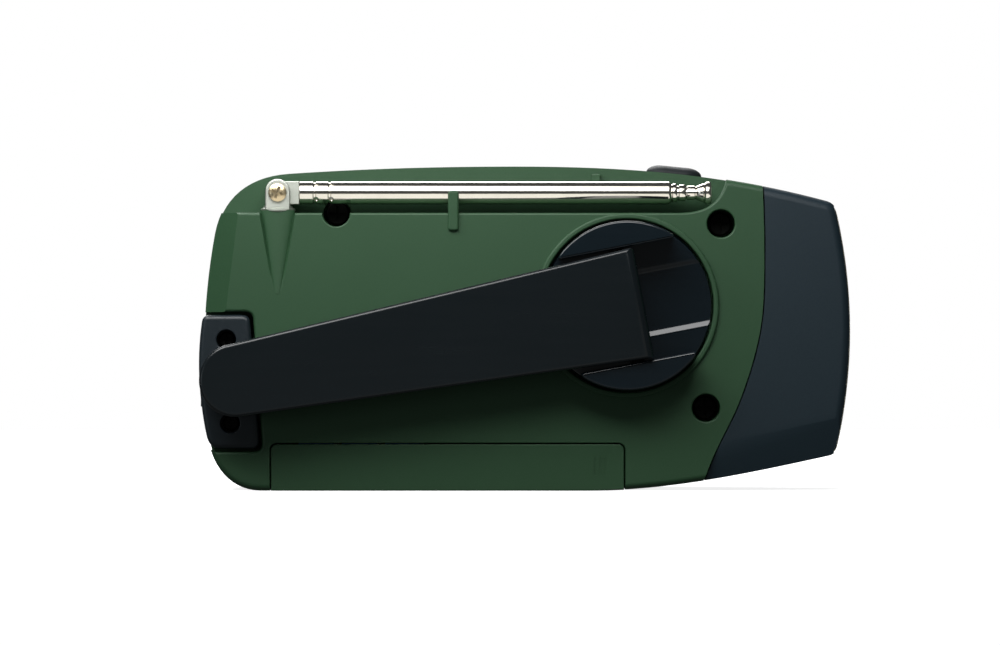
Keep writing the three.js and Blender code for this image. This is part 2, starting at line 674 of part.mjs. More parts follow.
function antenna() {
  const ears = cut(
    join(
      box([antennaX - 2.8, antennaX + 2.8], [antennaY - 3.4, antennaY + 3.4], [shelfZ + 0.9, antennaZ + 0.3]),
      drum(2.8, antennaY - 3.4, antennaY + 3.4, antennaX, antennaZ + 0.3, 24),
    ),
    box([antennaX - 4, antennaX + 4], [antennaY - 2.1, antennaY + 2.1], [64.3, 80]),
  );
  const foot = join(
    barZ(3.9, shelfZ + gap, shelfZ + 1.2, antennaX, antennaY, 24, 3.4),
    barZ(1.5, 55, shelfZ + 1, antennaX, antennaY, 16),
  );
  const bore = drum(1.1, 0, 30, antennaX, antennaZ, 12);
  piece('antenna_base', cut(join(ears, foot), bore), 'nickel');
  const head = drum(2.05, antennaY + 3.5, antennaY + 4.4, antennaX, antennaZ, 20);
  const slot = box([antennaX - 1.5, antennaX + 1.5], [antennaY + 4, 30], [antennaZ - 0.3, antennaZ + 0.3]);
  const shank = drum(0.95, antennaY - 3.3, antennaY + 3.6, antennaX, antennaZ, 12);
  piece('antenna_screw', cut(join(head, shank), slot), 'nickel');
  const rings = [47.6, 44.2].map((x) => cut(
    barX(3, x - 0.35, x + 0.35, antennaY, antennaZ, 14),
    barX(2.42, x - 1, x + 1, antennaY, antennaZ, 14),
  ));
  const outer = cut(
    join(
      drum(2.6, antennaY - 1.95, antennaY + 1.95, antennaX, antennaZ, 20),
      box([51.4, antennaX], [antennaY - 1.95, antennaY + 1.95], [antennaZ - 2.6, antennaZ + 2.6]),
      barX(2.6, -32.8, 51.5, antennaY, antennaZ, 14),
    ),
    barX(2.05, -34, 50.4, antennaY, antennaZ, 14),
    drum(1.1, 0, 30, antennaX, antennaZ, 12),
    ...rings,
  );
  piece('antenna_tube_1', outer, 'nickel');
  const second = cut(barX(1.95, -34.1, 49.6, antennaY, antennaZ, 14), barX(1.68, -36, 48.6, antennaY, antennaZ, 14));
  piece('antenna_tube_2', second, 'nickel');
  const third = cut(barX(1.6, -36.1, 47.8, antennaY, antennaZ, 14), barX(1.33, -38, 46.8, antennaY, antennaZ, 14));
  piece('antenna_tube_3', third, 'nickel');
  const tip = join(
    barX(1.25, -40, 46, antennaY, antennaZ, 16),
    barX(2.5, -42, -39.6, antennaY, antennaZ, 14),
    barX(2.5, -39.7, -38.4, antennaY, antennaZ, 20, 1.3),
  );
  piece('antenna_tube_4', tip, 'nickel');
}

// ---- build ----

piece('back_shell', backShell(), 'green_plastic');
piece('front_shell', frontShell(), 'green_plastic');
piece('end_cap', endCap(), 'cap_plastic');
piece('strap_block', strapBlock(), 'block_plastic');
flashlight();
solarPanel();
speakerSet();
dial();
controls();
electronics();
ports();
batteryBay();
crank();
geartrain();
fasteners();
antenna();

export default group;
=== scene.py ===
import json
import math

import bmesh
import bpy
from mathutils import Matrix, Vector


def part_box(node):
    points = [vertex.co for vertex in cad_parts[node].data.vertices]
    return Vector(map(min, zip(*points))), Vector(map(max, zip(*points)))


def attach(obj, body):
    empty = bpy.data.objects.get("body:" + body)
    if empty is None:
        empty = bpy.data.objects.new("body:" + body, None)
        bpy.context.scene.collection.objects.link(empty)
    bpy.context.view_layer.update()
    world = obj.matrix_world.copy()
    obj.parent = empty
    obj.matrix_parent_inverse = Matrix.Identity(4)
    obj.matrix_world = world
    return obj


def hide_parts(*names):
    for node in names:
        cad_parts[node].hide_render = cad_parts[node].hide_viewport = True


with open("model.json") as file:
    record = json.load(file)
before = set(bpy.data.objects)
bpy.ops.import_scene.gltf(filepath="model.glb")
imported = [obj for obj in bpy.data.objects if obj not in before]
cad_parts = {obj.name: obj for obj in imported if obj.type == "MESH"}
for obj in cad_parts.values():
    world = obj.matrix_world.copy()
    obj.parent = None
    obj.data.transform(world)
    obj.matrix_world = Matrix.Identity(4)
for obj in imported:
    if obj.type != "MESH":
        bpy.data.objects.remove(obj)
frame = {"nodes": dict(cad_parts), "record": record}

print("frame loaded:", len(frame["nodes"]), "nodes")
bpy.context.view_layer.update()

# The housing is drawn in millimetres about its own corner, so every drawing is moved
# by what separates the drawn crank centre from the frame's.
mm = 0.001
crankCentre = (-22.6, 41.8)
rotorLow, rotorHigh = (Vector(p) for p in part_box("crank_rotor"))
armTop = Vector(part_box("crank_arm")[1]).y
shift = Vector(((rotorLow.x + rotorHigh.x) / 2 / mm - crankCentre[0], armTop / mm - 28, 0))
armLean = math.radians(10.8)   # the folded arm points this far below level

housing = {"front": -18, "back": 17, "wall": 2, "parting": 1, "gap": 0.3,
           "backRound": 1.5, "frontRound": 2, "farX": 90}


# camera, floor and light

def setCamera():
    view = {"lens": 200, "distance": 1254, "x": 6.0, "z": 38.0}
    data = bpy.data.cameras.new("studioCamera")
    data.lens = view["lens"]
    data.clip_end = 20
    camera = bpy.data.objects.new("studioCamera", data)
    place = (Vector((view["x"], housing["back"] + view["distance"], view["z"])) + shift) * mm
    camera.location = place
    camera.rotation_euler = (math.radians(90), 0, math.radians(180))
    bpy.context.scene.collection.objects.link(camera)
    bpy.context.scene.camera = camera


def addNode(tree, kind, settings=None, links=None):
    # one node, its settings (sockets by name, the rest as properties) and what feeds it
    node = tree.nodes.new(kind)
    for key, value in (settings or {}).items():
        if isinstance(key, int) or key in node.inputs:
            node.inputs[key].default_value = value
        else:
            setattr(node, key, value)
    for key, socket in (links or {}).items():
        tree.links.new(socket, node.inputs[key])
    return node


def linear(colour, alpha=1.0):
    # sRGB hex to linear
    parts = [int(colour[i:i + 2], 16) / 255 for i in (1, 3, 5)]
    return [c / 12.92 if c <= 0.04045 else ((c + 0.055) / 1.055) ** 2.4 for c in parts] + [alpha]


def setLight():
    world = bpy.data.worlds.new("paleStudio")
    world.use_nodes = True
    tree = world.node_tree
    tree.nodes.clear()
    seen = addNode(tree, "ShaderNodeBackground", {"Color": linear("#ffffff"), "Strength": 1.0})
    cast = addNode(tree, "ShaderNodeBackground", {"Color": linear("#e8eeee"), "Strength": 0.09})
    path = addNode(tree, "ShaderNodeLightPath")
    mix = addNode(tree, "ShaderNodeMixShader")
    tree.links.new(path.outputs["Is Camera Ray"], mix.inputs[0])
    tree.links.new(cast.outputs[0], mix.inputs[1])
    tree.links.new(seen.outputs[0], mix.inputs[2])
    addNode(tree, "ShaderNodeOutputWorld", links={"Surface": mix.outputs[0]})
    bpy.context.scene.world = world
    lamps = {
        "overhead": {"at": (60, 130, 195), "size": (300, 110), "power": 0.66, "colour": "#ffffff"},
        "fill": {"at": (460, 420, 60), "size": (160, 160), "power": 0.12, "colour": "#f0faff"},
        "behind": {"at": (80, -420, 420), "size": (400, 300), "power": 3.0, "colour": "#ffffff"},
        "lowCard": {"at": (10, 190, 4), "size": (240, 300), "power": 0.3, "colour": "#fffdf8", "up": True},
        "edgeCard": {"at": (10, 190, 4), "size": (240, 300), "power": 0.035, "colour": "#fffdf8", "up": True},
        "highCard": {"at": (50, 150, 215), "size": (360, 210), "power": 0.45, "colour": "#ffffff"},
    }
    for name, lamp in lamps.items():
        data = bpy.data.lights.new(name, "AREA")
        data.shape = "RECTANGLE"
        data.size, data.size_y = (s * mm for s in lamp["size"])
        data.energy = lamp["power"]
        data.color = linear(lamp["colour"])[:3]
        light = bpy.data.objects.new(name, data)
        light.location = Vector(lamp["at"]) * mm
        aim = Vector((0, 0, 1)) if "up" in lamp else Vector((0, 0, 37)) * mm - light.location
        light.rotation_euler = aim.to_track_quat("-Z", "Y").to_euler()
        bpy.context.scene.collection.objects.link(light)


def lightOnly(lamp, names):
    # a card seen by the shiny pieces alone, which would otherwise mirror a dark room
    only = bpy.data.collections.new(lamp + "Pieces")
    for name in names:
        only.objects.link(bpy.data.objects[name])
    card = bpy.data.objects[lamp]
    card.light_linking.receiver_collection = only
    card.visible_camera = False


# mesh making; drawings are outlines of (x, z) and depths of y, in millimetres

def link(mesh):
    thing = bpy.data.objects.new(mesh.name, mesh)
    bpy.context.scene.collection.objects.link(thing)
    return thing


def loft(rings, name="block"):
    # a closed solid through rings that all have the same number of points
    form = bmesh.new()
    loops = [[form.verts.new((Vector(p) + shift) * mm) for p in ring] for ring in rings]
    count = len(loops[0])
    for here, there in zip(loops, loops[1:]):
        for i in range(count):
            j = (i + 1) % count
            form.faces.new((here[i], here[j], there[j], there[i]))
    form.faces.new(reversed(loops[0]))
    form.faces.new(loops[-1])
    bmesh.ops.recalc_face_normals(form, faces=form.faces)
    mesh = bpy.data.meshes.new(name)
    form.to_mesh(mesh)
    form.free()
    return link(mesh)


def offset(points, inwards):
    # moves a counter-clockwise outline inwards, corner by corner
    moved = []
    for i, here in enumerate(points):
        before, after = points[i - 1], points[(i + 1) % len(points)]
        first = (Vector(here) - Vector(before)).normalized()
        second = (Vector(after) - Vector(here)).normalized()
        push = Vector((-first.y - second.y, first.x + second.x)).normalized()
        spread = max(0.3, push.dot(Vector((-first.y, first.x))))
        moved.append(Vector(here) + push * (inwards / spread))
    return moved


def slab(points, low, high, lowRound=0, highRound=0, flare=None, steps=5):
    # a plate between two depths; flare is (surface, radius) and opens a cutter like a rounded lip
    layers = []
    if lowRound:
        for i in range(steps + 1):
            turn = i / steps * math.pi / 2
            layers.append((low + lowRound * (1 - math.cos(turn)), lowRound * (1 - math.sin(turn))))
    else:
        layers.append((low, 0))
    if highRound:
        for i in range(steps + 1):
            turn = (1 - i / steps) * math.pi / 2
            layers.append((high - highRound * (1 - math.cos(turn)), highRound * (1 - math.sin(turn))))
    elif flare:
        surface, radius = flare
        for i in range(steps + 1):
            turn = i / steps * math.pi / 2
            layers.append((surface - radius * (1 - math.sin(turn)), -radius * (1 - math.cos(turn))))
        layers.append((high, -radius))
    else:
        layers.append((high, 0))
    return loft([[(p[0], depth, p[1]) for p in offset(points, inset)] for depth, inset in layers])


def circle(radius, x, z, sides=64):
    return [(x + radius * math.cos(i * math.tau / sides), z + radius * math.sin(i * math.tau / sides))
            for i in range(sides)]


def drum(radius, low, high, x, z, sides=64, **rims):
    return slab(circle(radius, x, z, sides), low, high, **rims)


def turned(profile, start, along, sides=48):
    # a lathe: profile is (distance along, radius) from a start point
    along = Vector(along).normalized()
    side = along.orthogonal().normalized()
    up = along.cross(side)
    turns = [i * math.tau / sides for i in range(sides)]
    spokes = [side * math.cos(a) + up * math.sin(a) for a in turns]
    return loft([[Vector(start) + along * distance + spoke * radius for spoke in spokes]
                 for distance, radius in profile])


def block(x, y, z):
    return slab([(x[0], z[0]), (x[1], z[0]), (x[1], z[1]), (x[0], z[1])], y[0], y[1])


def panel(x, z, radius, steps=8):
    corners = ((x[1] - radius, z[1] - radius), (x[0] + radius, z[1] - radius),
               (x[0] + radius, z[0] + radius), (x[1] - radius, z[0] + radius))
    points = []
    for quarter, (cx, cz) in enumerate(corners):
        for i in range(steps + 1):
            turn = (quarter + i / steps) * math.pi / 2
            points.append((cx + radius * math.cos(turn), cz + radius * math.sin(turn)))
    return points


def combine(target, others, how="DIFFERENCE"):
    for other in others:
        modifier = target.modifiers.new("join", "BOOLEAN")
        modifier.operation = how
        modifier.object = other
        modifier.solver = "MANIFOLD"
    graph = bpy.context.evaluated_depsgraph_get()
    mesh = bpy.data.meshes.new_from_object(target.evaluated_get(graph))
    for thing in (target, *others):
        bpy.data.objects.remove(thing)
    return link(mesh)


def cut(target, *others):
    return combine(target, others)


def join(target, *others):
    return combine(target, others, "UNION")


def common(target, other):
    return combine(target, [other], "INTERSECT")


def finished(thing, name, body, slot, *replaced, finish=None):
    # smooth faces, crisp corners, then the piece is handed to its body
    sharp = math.radians(34)
    form = bmesh.new()
    form.from_mesh(thing.data)
    bmesh.ops.remove_doubles(form, verts=form.verts, dist=1e-6)
    bmesh.ops.dissolve_degenerate(form, dist=1e-6, edges=form.edges)
    for face in form.faces:
        face.smooth = True
    for edge in form.edges:
        edge.smooth = edge.is_manifold and edge.calc_face_angle(0) < sharp
    form.to_mesh(thing.data)
    form.free()
    modifier = thing.modifiers.new("evenShade", "WEIGHTED_NORMAL")
    modifier.keep_sharp = True
    modifier.weight = 90
    graph = bpy.context.evaluated_depsgraph_get()
    mesh = bpy.data.meshes.new_from_object(thing.evaluated_get(graph))
    bpy.data.objects.remove(thing)
    mesh.name = name
    mesh.materials.clear()
    mesh.materials.append(finishes[finish or slot])
    piece = link(mesh)
    piece.name = name
    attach(piece, body)
    if replaced:
        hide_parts(*replaced)
    return piece


# geometry nodes for what repeats

def nodeGroup(name, sizes):
    # a geometry tree with named inputs for its sizes
    tree = bpy.data.node_groups.new(name, "GeometryNodeTree")
    tree.interface.new_socket("Geometry", in_out="INPUT", socket_type="NodeSocketGeometry")
    for label, value in sizes.items():
        kind = "NodeSocketInt" if isinstance(value, int) else "NodeSocketFloat"
        tree.interface.new_socket(label, in_out="INPUT", socket_type=kind).default_value = value
    tree.interface.new_socket("Material", in_out="INPUT", socket_type="NodeSocketMaterial")
    tree.interface.new_socket("Geometry", in_out="OUTPUT", socket_type="NodeSocketGeometry")
    return tree, tree.nodes.new("NodeGroupInput")


def endGroup(tree, start, geometry):
    real = addNode(tree, "GeometryNodeRealizeInstances", links={"Geometry": geometry})
    dress = addNode(tree, "GeometryNodeSetMaterial",
                    links={"Geometry": real.outputs[0], "Material": start.outputs["Material"]})
    addNode(tree, "NodeGroupOutput", links={"Geometry": dress.outputs[0]})


def grow(tree, seed, sizes, material):
    # runs a tree on an object and keeps the plain mesh
    modifier = seed.modifiers.new("repeat", "NODES")
    modifier.node_group = tree
    for item in tree.interface.items_tree:
        if item.in_out != "INPUT":
            continue
        if item.name in sizes:
            modifier[item.identifier] = sizes[item.name]
        elif item.name == "Material":
            modifier[item.identifier] = material
    graph = bpy.context.evaluated_depsgraph_get()
    mesh = bpy.data.meshes.new_from_object(seed.evaluated_get(graph))
    bpy.data.objects.remove(seed)
    return link(mesh)


def ribRing():
    # copies of one rib on a circle, each turned to face outwards
    tree, start = nodeGroup("ribRing", {"Count": 24, "Radius": 0.01})
    ring = addNode(tree, "GeometryNodeMeshCircle",
                   links={"Vertices": start.outputs["Count"], "Radius": start.outputs["Radius"]})
    place = addNode(tree, "GeometryNodeInputPosition")
    face = addNode(tree, "FunctionNodeAlignRotationToVector", {"axis": "X"}, {"Vector": place.outputs[0]})
    copies = addNode(tree, "GeometryNodeInstanceOnPoints",
                     links={"Points": ring.outputs[0], "Instance": start.outputs["Geometry"],
                            "Rotation": face.outputs[0]})
    endGroup(tree, start, copies.outputs[0])
    return tree


def ribRow():
    # copies of one rib along a line
    tree, start = nodeGroup("ribRow", {"Count": 6, "Pitch": 0.001})
    step = addNode(tree, "ShaderNodeCombineXYZ", links={"X": start.outputs["Pitch"]})
    line = addNode(tree, "GeometryNodeMeshLine",
                   links={"Count": start.outputs["Count"], "Offset": step.outputs[0]})
    copies = addNode(tree, "GeometryNodeInstanceOnPoints",
                     links={"Points": line.outputs[0], "Instance": start.outputs["Geometry"]})
    endGroup(tree, start, copies.outputs[0])
    return tree


def grilleBars():
    # level bars cut to the width of a round opening
    tree, start = nodeGroup("grilleBars", {"Count": 9, "Pitch": 0.0042, "Radius": 0.019})
    step = addNode(tree, "ShaderNodeCombineXYZ", links={"Z": start.outputs["Pitch"]})
    last = addNode(tree, "ShaderNodeMath", {"operation": "SUBTRACT", 1: 1.0}, {0: start.outputs["Count"]})
    span = addNode(tree, "ShaderNodeMath", {"operation": "MULTIPLY"},
                   {0: last.outputs[0], 1: start.outputs["Pitch"]})
    half = addNode(tree, "ShaderNodeMath", {"operation": "MULTIPLY", 1: -0.5}, {0: span.outputs[0]})
    low = addNode(tree, "ShaderNodeCombineXYZ", links={"Z": half.outputs[0]})
    line = addNode(tree, "GeometryNodeMeshLine",
                   links={"Count": start.outputs["Count"], "Start Location": low.outputs[0],
                          "Offset": step.outputs[0]})
    place = addNode(tree, "GeometryNodeInputPosition")
    part = addNode(tree, "ShaderNodeSeparateXYZ", links={"Vector": place.outputs[0]})
    away = addNode(tree, "ShaderNodeMath", {"operation": "DIVIDE"},
                   {0: part.outputs["Z"], 1: start.outputs["Radius"]})
    square = addNode(tree, "ShaderNodeMath", {"operation": "POWER", 1: 2.0}, {0: away.outputs[0]})
    left = addNode(tree, "ShaderNodeMath", {"operation": "SUBTRACT", 0: 1.0}, {1: square.outputs[0]})
    reach = addNode(tree, "ShaderNodeMath", {"operation": "SQRT"}, {0: left.outputs[0]})
    size = addNode(tree, "ShaderNodeCombineXYZ", {"Y": 1.0, "Z": 1.0}, {"X": reach.outputs[0]})
    copies = addNode(tree, "GeometryNodeInstanceOnPoints",
                     links={"Points": line.outputs[0], "Instance": start.outputs["Geometry"],
                            "Scale": size.outputs[0]})
    endGroup(tree, start, copies.outputs[0])
    return tree


def moved(thing, offsetMm):
    thing.data.transform(Matrix.Translation(Vector(offsetMm) * mm))
    return thing


# finishes

def newMaterial(name):
    material = bpy.data.materials.new(name)
    material.use_nodes = True
    tree = material.node_tree
    tree.nodes.clear()
    shader = addNode(tree, "ShaderNodeBsdfPrincipled")
    addNode(tree, "ShaderNodeOutputMaterial", links={"Surface": shader.outputs[0]})
    return material, tree, shader


def dress(tree, shader, look, fine, slow, sheen, depth):
    # tone follows the slow pattern; gloss and relief follow the fine one
    tone = addNode(tree, "ShaderNodeMix",
                   {"data_type": "RGBA", 6: linear(look["tone"]), 7: linear(look["toneAlt"])},
                   {0: slow.outputs[0]})
    low, high, glossy, dull = sheen
    gloss = addNode(tree, "ShaderNodeMapRange",
                    {"From Min": low, "From Max": high, "To Min": glossy, "To Max": dull},
                    {"Value": fine.outputs[0]})
    strength, distance = depth
    bump = addNode(tree, "ShaderNodeBump", {"Strength": strength, "Distance": distance * mm},
                   {"Height": fine.outputs[0]})
    tree.links.new(tone.outputs[2], shader.inputs["Base Color"])
    tree.links.new(gloss.outputs[0], shader.inputs["Roughness"])
    tree.links.new(bump.outputs[0], shader.inputs["Normal"])


def mouldedPlastic(name, look):
    # an injection-moulded plastic: fine spark-eroded grain, slow drift in tone and sheen
    material, tree, shader = newMaterial(name)
    where = addNode(tree, "ShaderNodeTexCoord").outputs["Object"]
    grain = addNode(tree, "ShaderNodeTexNoise", {"Scale": 1 / (look["grain"] * mm), "Detail": 3.0,
                                                 "Roughness": 0.6}, {"Vector": where})
    drift = addNode(tree, "ShaderNodeTexNoise", {"Scale": 1 / (look.get("drift", 26) * mm), "Detail": 4.0},
                    {"Vector": where})
    rough, swing = look["rough"], look["swing"]
    dress(tree, shader, look, grain, drift, (0.3, 0.7, rough - swing, rough + swing), (look["relief"], 0.02))
    shader.inputs["IOR"].default_value = look.get("ior", 1.53)
    return material


def polishedPlastic(name, look):
    # moulded in a polished tool: glossy, with faint hairline scuffs that break up the shine
    material, tree, shader = newMaterial(name)
    where = addNode(tree, "ShaderNodeTexCoord").outputs["Object"]
    turn = addNode(tree, "ShaderNodeMapping", {"Rotation": (0, armLean, 0), "Scale": (0.06, 1, 1)},
                   {"Vector": where})
    scuffs = addNode(tree, "ShaderNodeTexNoise", {"Scale": 1 / (look["scuff"] * mm), "Detail": 5.0},
                     {"Vector": turn.outputs[0]})
    cloud = addNode(tree, "ShaderNodeTexNoise", {"Scale": 1 / (18 * mm), "Detail": 3.0}, {"Vector": where})
    rough = look["rough"]
    dress(tree, shader, look, scuffs, cloud, (0.35, 0.75, rough, rough + look["swing"]), (0.03, 0.005))
    shader.inputs["IOR"].default_value = 1.53
    return material


def platedMetal(name, look):
    # metal with fine drawn or turned lines and a little tarnish in the low spots
    material, tree, shader = newMaterial(name)
    where = addNode(tree, "ShaderNodeTexCoord").outputs["Object"]
    turn = addNode(tree, "ShaderNodeMapping", {"Scale": look.get("lines", (0.05, 1, 1))}, {"Vector": where})
    draw = addNode(tree, "ShaderNodeTexNoise", {"Scale": 1 / (look["grain"] * mm), "Detail": 4.0},
                   {"Vector": turn.outputs[0]})
    cloud = addNode(tree, "ShaderNodeTexNoise", {"Scale": 1 / (7 * mm), "Detail": 3.0}, {"Vector": where})
    rough = look["rough"]
    dress(tree, shader, look, draw, cloud, (0.3, 0.7, rough, rough + look["swing"]),
          (look.get("relief", 0.1), 0.01))
    shader.inputs["Metallic"].default_value = 1.0
    return material


def clearPlastic(name, tint, rough, clear=0.92):
    # clear acrylic: a faint warm tint and a few wiping marks in the gloss
    material, tree, shader = newMaterial(name)
    where = addNode(tree, "ShaderNodeTexCoord").outputs["Object"]
    wipes = addNode(tree, "ShaderNodeTexNoise", {"Scale": 1 / (3 * mm), "Detail": 5.0}, {"Vector": where})
    sheen = addNode(tree, "ShaderNodeMapRange", {"To Min": rough, "To Max": rough + 0.06},
                    {"Value": wipes.outputs[0]})
    shader.inputs["Base Color"].default_value = linear(tint)
    shader.inputs["IOR"].default_value = 1.49
    shader.inputs["Transmission Weight"].default_value = clear
    tree.links.new(sheen.outputs[0], shader.inputs["Roughness"])
    return material


def solarCell(name):
    # blue-black silicon under laminate, crossed by silvery collector lines
    material, tree, shader = newMaterial(name)
    where = addNode(tree, "ShaderNodeTexCoord").outputs["Object"]
    part = addNode(tree, "ShaderNodeSeparateXYZ", links={"Vector": where})
    masks = []
    for axis, pitch, width in (("X", 10.8, 0.05), ("Y", 1.8, 0.1)):
        count = addNode(tree, "ShaderNodeMath", {"operation": "DIVIDE", 1: pitch * mm},
                        {0: part.outputs[axis]})
        wrap = addNode(tree, "ShaderNodeMath", {"operation": "FRACT"}, {0: count.outputs[0]})
        masks.append(addNode(tree, "ShaderNodeMath", {"operation": "LESS_THAN", 1: width},
                             {0: wrap.outputs[0]}))
    lines = addNode(tree, "ShaderNodeMath", {"operation": "MAXIMUM"},
                    {0: masks[0].outputs[0], 1: masks[1].outputs[0]})
    tone = addNode(tree, "ShaderNodeMix", {"data_type": "RGBA", 6: linear("#101a36"), 7: linear("#8e979c")},
                   {0: lines.outputs[0]})
    tree.links.new(tone.outputs[2], shader.inputs["Base Color"])
    shader.inputs["Roughness"].default_value = 0.22
    return material


def makeFinishes():
    made = {}
    plastics = {
        # dull olive shell: fine grain scatters the light, so it reads almost matte
        "green_plastic": ("sparkErodedAbsOlive", {"tone": "#284d2f", "toneAlt": "#2d5234",
            "grain": 0.42, "rough": 0.56, "swing": 0.07, "relief": 0.35}),
        # a cooler blue-black end with the same dry surface
        "cap_plastic": ("satinAbsBlueBlack", {"tone": "#10252f", "toneAlt": "#142933",
            "grain": 0.4, "rough": 0.56, "swing": 0.06, "relief": 0.3}),
        # coarser grain with a dry sheen, like a tough strap fitting
        "block_plastic": ("glassFilledNylonBlack", {"tone": "#172026", "toneAlt": "#1f2a30",
            "grain": 0.5, "rough": 0.42, "swing": 0.1, "relief": 0.5}),
        # soft charcoal that keeps the bars quiet against the dark cone
        "grille_plastic": ("satinAbsCharcoal", {"tone": "#1c2224", "toneAlt": "#23292b",
            "grain": 0.4, "rough": 0.5, "swing": 0.06, "relief": 0.3}),
        # dusty grey with hardly any highlight
        "button_rubber": ("mouldedSiliconeGrey", {"tone": "#191e21", "toneAlt": "#202528",
            "grain": 0.6, "rough": 0.62, "swing": 0.06, "relief": 0.2, "ior": 1.41}),
        # duller and softer than the plastics round it
        "flap_rubber": ("mouldedRubberBlack", {"tone": "#1d2122", "toneAlt": "#242829",
            "grain": 0.6, "rough": 0.66, "swing": 0.06, "relief": 0.25, "ior": 1.48}),
        # plain dark moulding, even all over
        "switch_plastic": ("mouldedAbsBlack", {"tone": "#17191b", "toneAlt": "#1e2022",
            "grain": 0.5, "rough": 0.5, "swing": 0.05, "relief": 0.2}),
        # milky ivory with a waxy sheen
        "connector_nylon": ("naturalNylonIvory", {"tone": "#ded9ca", "toneAlt": "#e9e5d8",
            "grain": 0.7, "rough": 0.45, "swing": 0.06, "relief": 0.15}),
        # cream, with a slippery gleam on the teeth
        "gear_nylon": ("mouldedAcetalCream", {"tone": "#e2ddcd", "toneAlt": "#ece8dc",
            "grain": 0.7, "rough": 0.36, "swing": 0.06, "relief": 0.12, "ior": 1.48}),
        # green lacquer of slightly uneven gloss
        "board_laminate": ("solderMaskGreen", {"tone": "#17583a", "toneAlt": "#1f6b46",
            "grain": 0.8, "rough": 0.4, "swing": 0.08, "relief": 0.3, "drift": 6}),
        # matt cream card behind the window
        "dial_card": ("printedCardCream", {"tone": "#d9dccb", "toneAlt": "#e1e4d6",
            "grain": 0.3, "rough": 0.75, "swing": 0.05, "relief": 0.3}),
        # fibrous black that takes no highlight
        "cone_paper": ("dopedPaperBlack", {"tone": "#161615", "toneAlt": "#22211f",
            "grain": 0.35, "rough": 0.85, "swing": 0.08, "relief": 0.8}),
        # tight shiny film with faint wrinkles
        "cell_sleeve": ("shrinkSleeveBlue", {"tone": "#28619a", "toneAlt": "#2f6fa8",
            "grain": 2.5, "rough": 0.3, "swing": 0.06, "relief": 0.3}),
        # bright red with a clean glint
        "pointer_red": ("mouldedAcrylicRed", {"tone": "#a81f1a", "toneAlt": "#bd2a22",
            "grain": 1.2, "rough": 0.25, "swing": 0.05, "relief": 0.1}),
        # milky domes, nearly glassy
        "led_resin": ("castEpoxyClear", {"tone": "#eeecd8", "toneAlt": "#f6f5e8",
            "grain": 2.0, "rough": 0.12, "swing": 0.04, "relief": 0.05}),
    }
    for slot, (name, look) in plastics.items():
        made[slot] = mouldedPlastic(name, look)
    # near-black, satin on the arm's broad face with a crisp glint on its rolled edge
    made["gloss_black"] = polishedPlastic("polishedAbsBlack", {"tone": "#0a1216", "toneAlt": "#0d161a",
        "scuff": 1.6, "rough": 0.25, "swing": 0.03})
    # glossier still, so the edges of the turning plate flash
    made["rotor_black"] = polishedPlastic("mirrorPolishedAbsBlack", {"tone": "#0c161c", "toneAlt": "#111c23",
        "scuff": 1.2, "rough": 0.14, "swing": 0.05})
    metals = {
        # bright plate with faint draw lines along the tubes
        "nickel": ("nickelPlatedBrassDrawn", {"tone": "#d9d6cd", "toneAlt": "#c9c5ba",
            "grain": 0.25, "rough": 0.07, "swing": 0.08, "relief": 0.06}),
        # tumbled before plating, so its flats stay pale instead of mirroring the room
        "satin_nickel": ("nickelPlatedBrassTumbled", {"tone": "#c9ccc4", "toneAlt": "#989e94",
            "grain": 0.5, "rough": 0.42, "swing": 0.16, "lines": (1, 1, 1), "relief": 0.25}),
        # warm passivate over zinc, rough enough to show its driver slots
        "pivot_screw": ("yellowPassivatedZinc", {"tone": "#d6c7a6", "toneAlt": "#a89470",
            "grain": 0.4, "rough": 0.24, "swing": 0.15, "lines": (1, 1, 1)}),
        # blackened, so only the edges of the slots catch light
        "screw_steel": ("blackOxideSteelRolled", {"tone": "#232322", "toneAlt": "#1a1a1a",
            "grain": 0.3, "rough": 0.42, "swing": 0.14}),
        # greyish plate, softly brushed
        "speaker_steel": ("pressedSteelPlated", {"tone": "#94969a", "toneAlt": "#7e8084",
            "grain": 0.4, "rough": 0.34, "swing": 0.12}),
        # brighter pressed sheet with drawn streaks
        "bracket_steel": ("pressedSteelBright", {"tone": "#a9acae", "toneAlt": "#909395",
            "grain": 0.4, "rough": 0.3, "swing": 0.14}),
        # dark ground steel
        "rotor_magnet": ("groundMagnetSteel", {"tone": "#4a4b4f", "toneAlt": "#38393c",
            "grain": 0.3, "rough": 0.38, "swing": 0.1}),
        # near-mirror cups round the lamps
        "reflector_chrome": ("vacuumMetallisedAbs", {"tone": "#dfe1e2", "toneAlt": "#d3d6d8",
            "grain": 1.5, "rough": 0.05, "swing": 0.05, "lines": (1, 1, 1)}),
        # close-wound wire that shows as fine ridges
        "coil_copper": ("enamelledCopperWound", {"tone": "#b4693a", "toneAlt": "#8f4c26",
            "grain": 0.25, "rough": 0.25, "swing": 0.1, "lines": (1, 0.1, 0.1), "relief": 0.6}),
        # dull sintered grey with a sandy skin
        "ferrite": ("sinteredFerriteGrey", {"tone": "#34332f", "toneAlt": "#272622",
            "grain": 0.3, "rough": 0.5, "swing": 0.1, "lines": (1, 1, 1), "relief": 0.3}),
    }
    for slot, (name, look) in metals.items():
        made[slot] = platedMetal(name, look)
    # water-clear windows
    made["clear_plastic"] = clearPlastic("mouldedAcrylicClear", "#f6f3e6", 0.04)
    # prismatic inside, so its edge glows a dull cream
    made["lens_plastic"] = clearPlastic("prismaticPolycarbonate", "#e6e2d4", 0.1, 0.8)
    made["solar_silicon"] = solarCell("laminatedSiliconBlue")
    # flat black figures that stand out from the card
    made["print_ink"] = mouldedPlastic("screenInkBlack", {"tone": "#15181a", "toneAlt": "#1b1e20",
        "grain": 0.5, "rough": 0.55, "swing": 0.05, "relief": 0.1})
    return made


# the housing's drawings

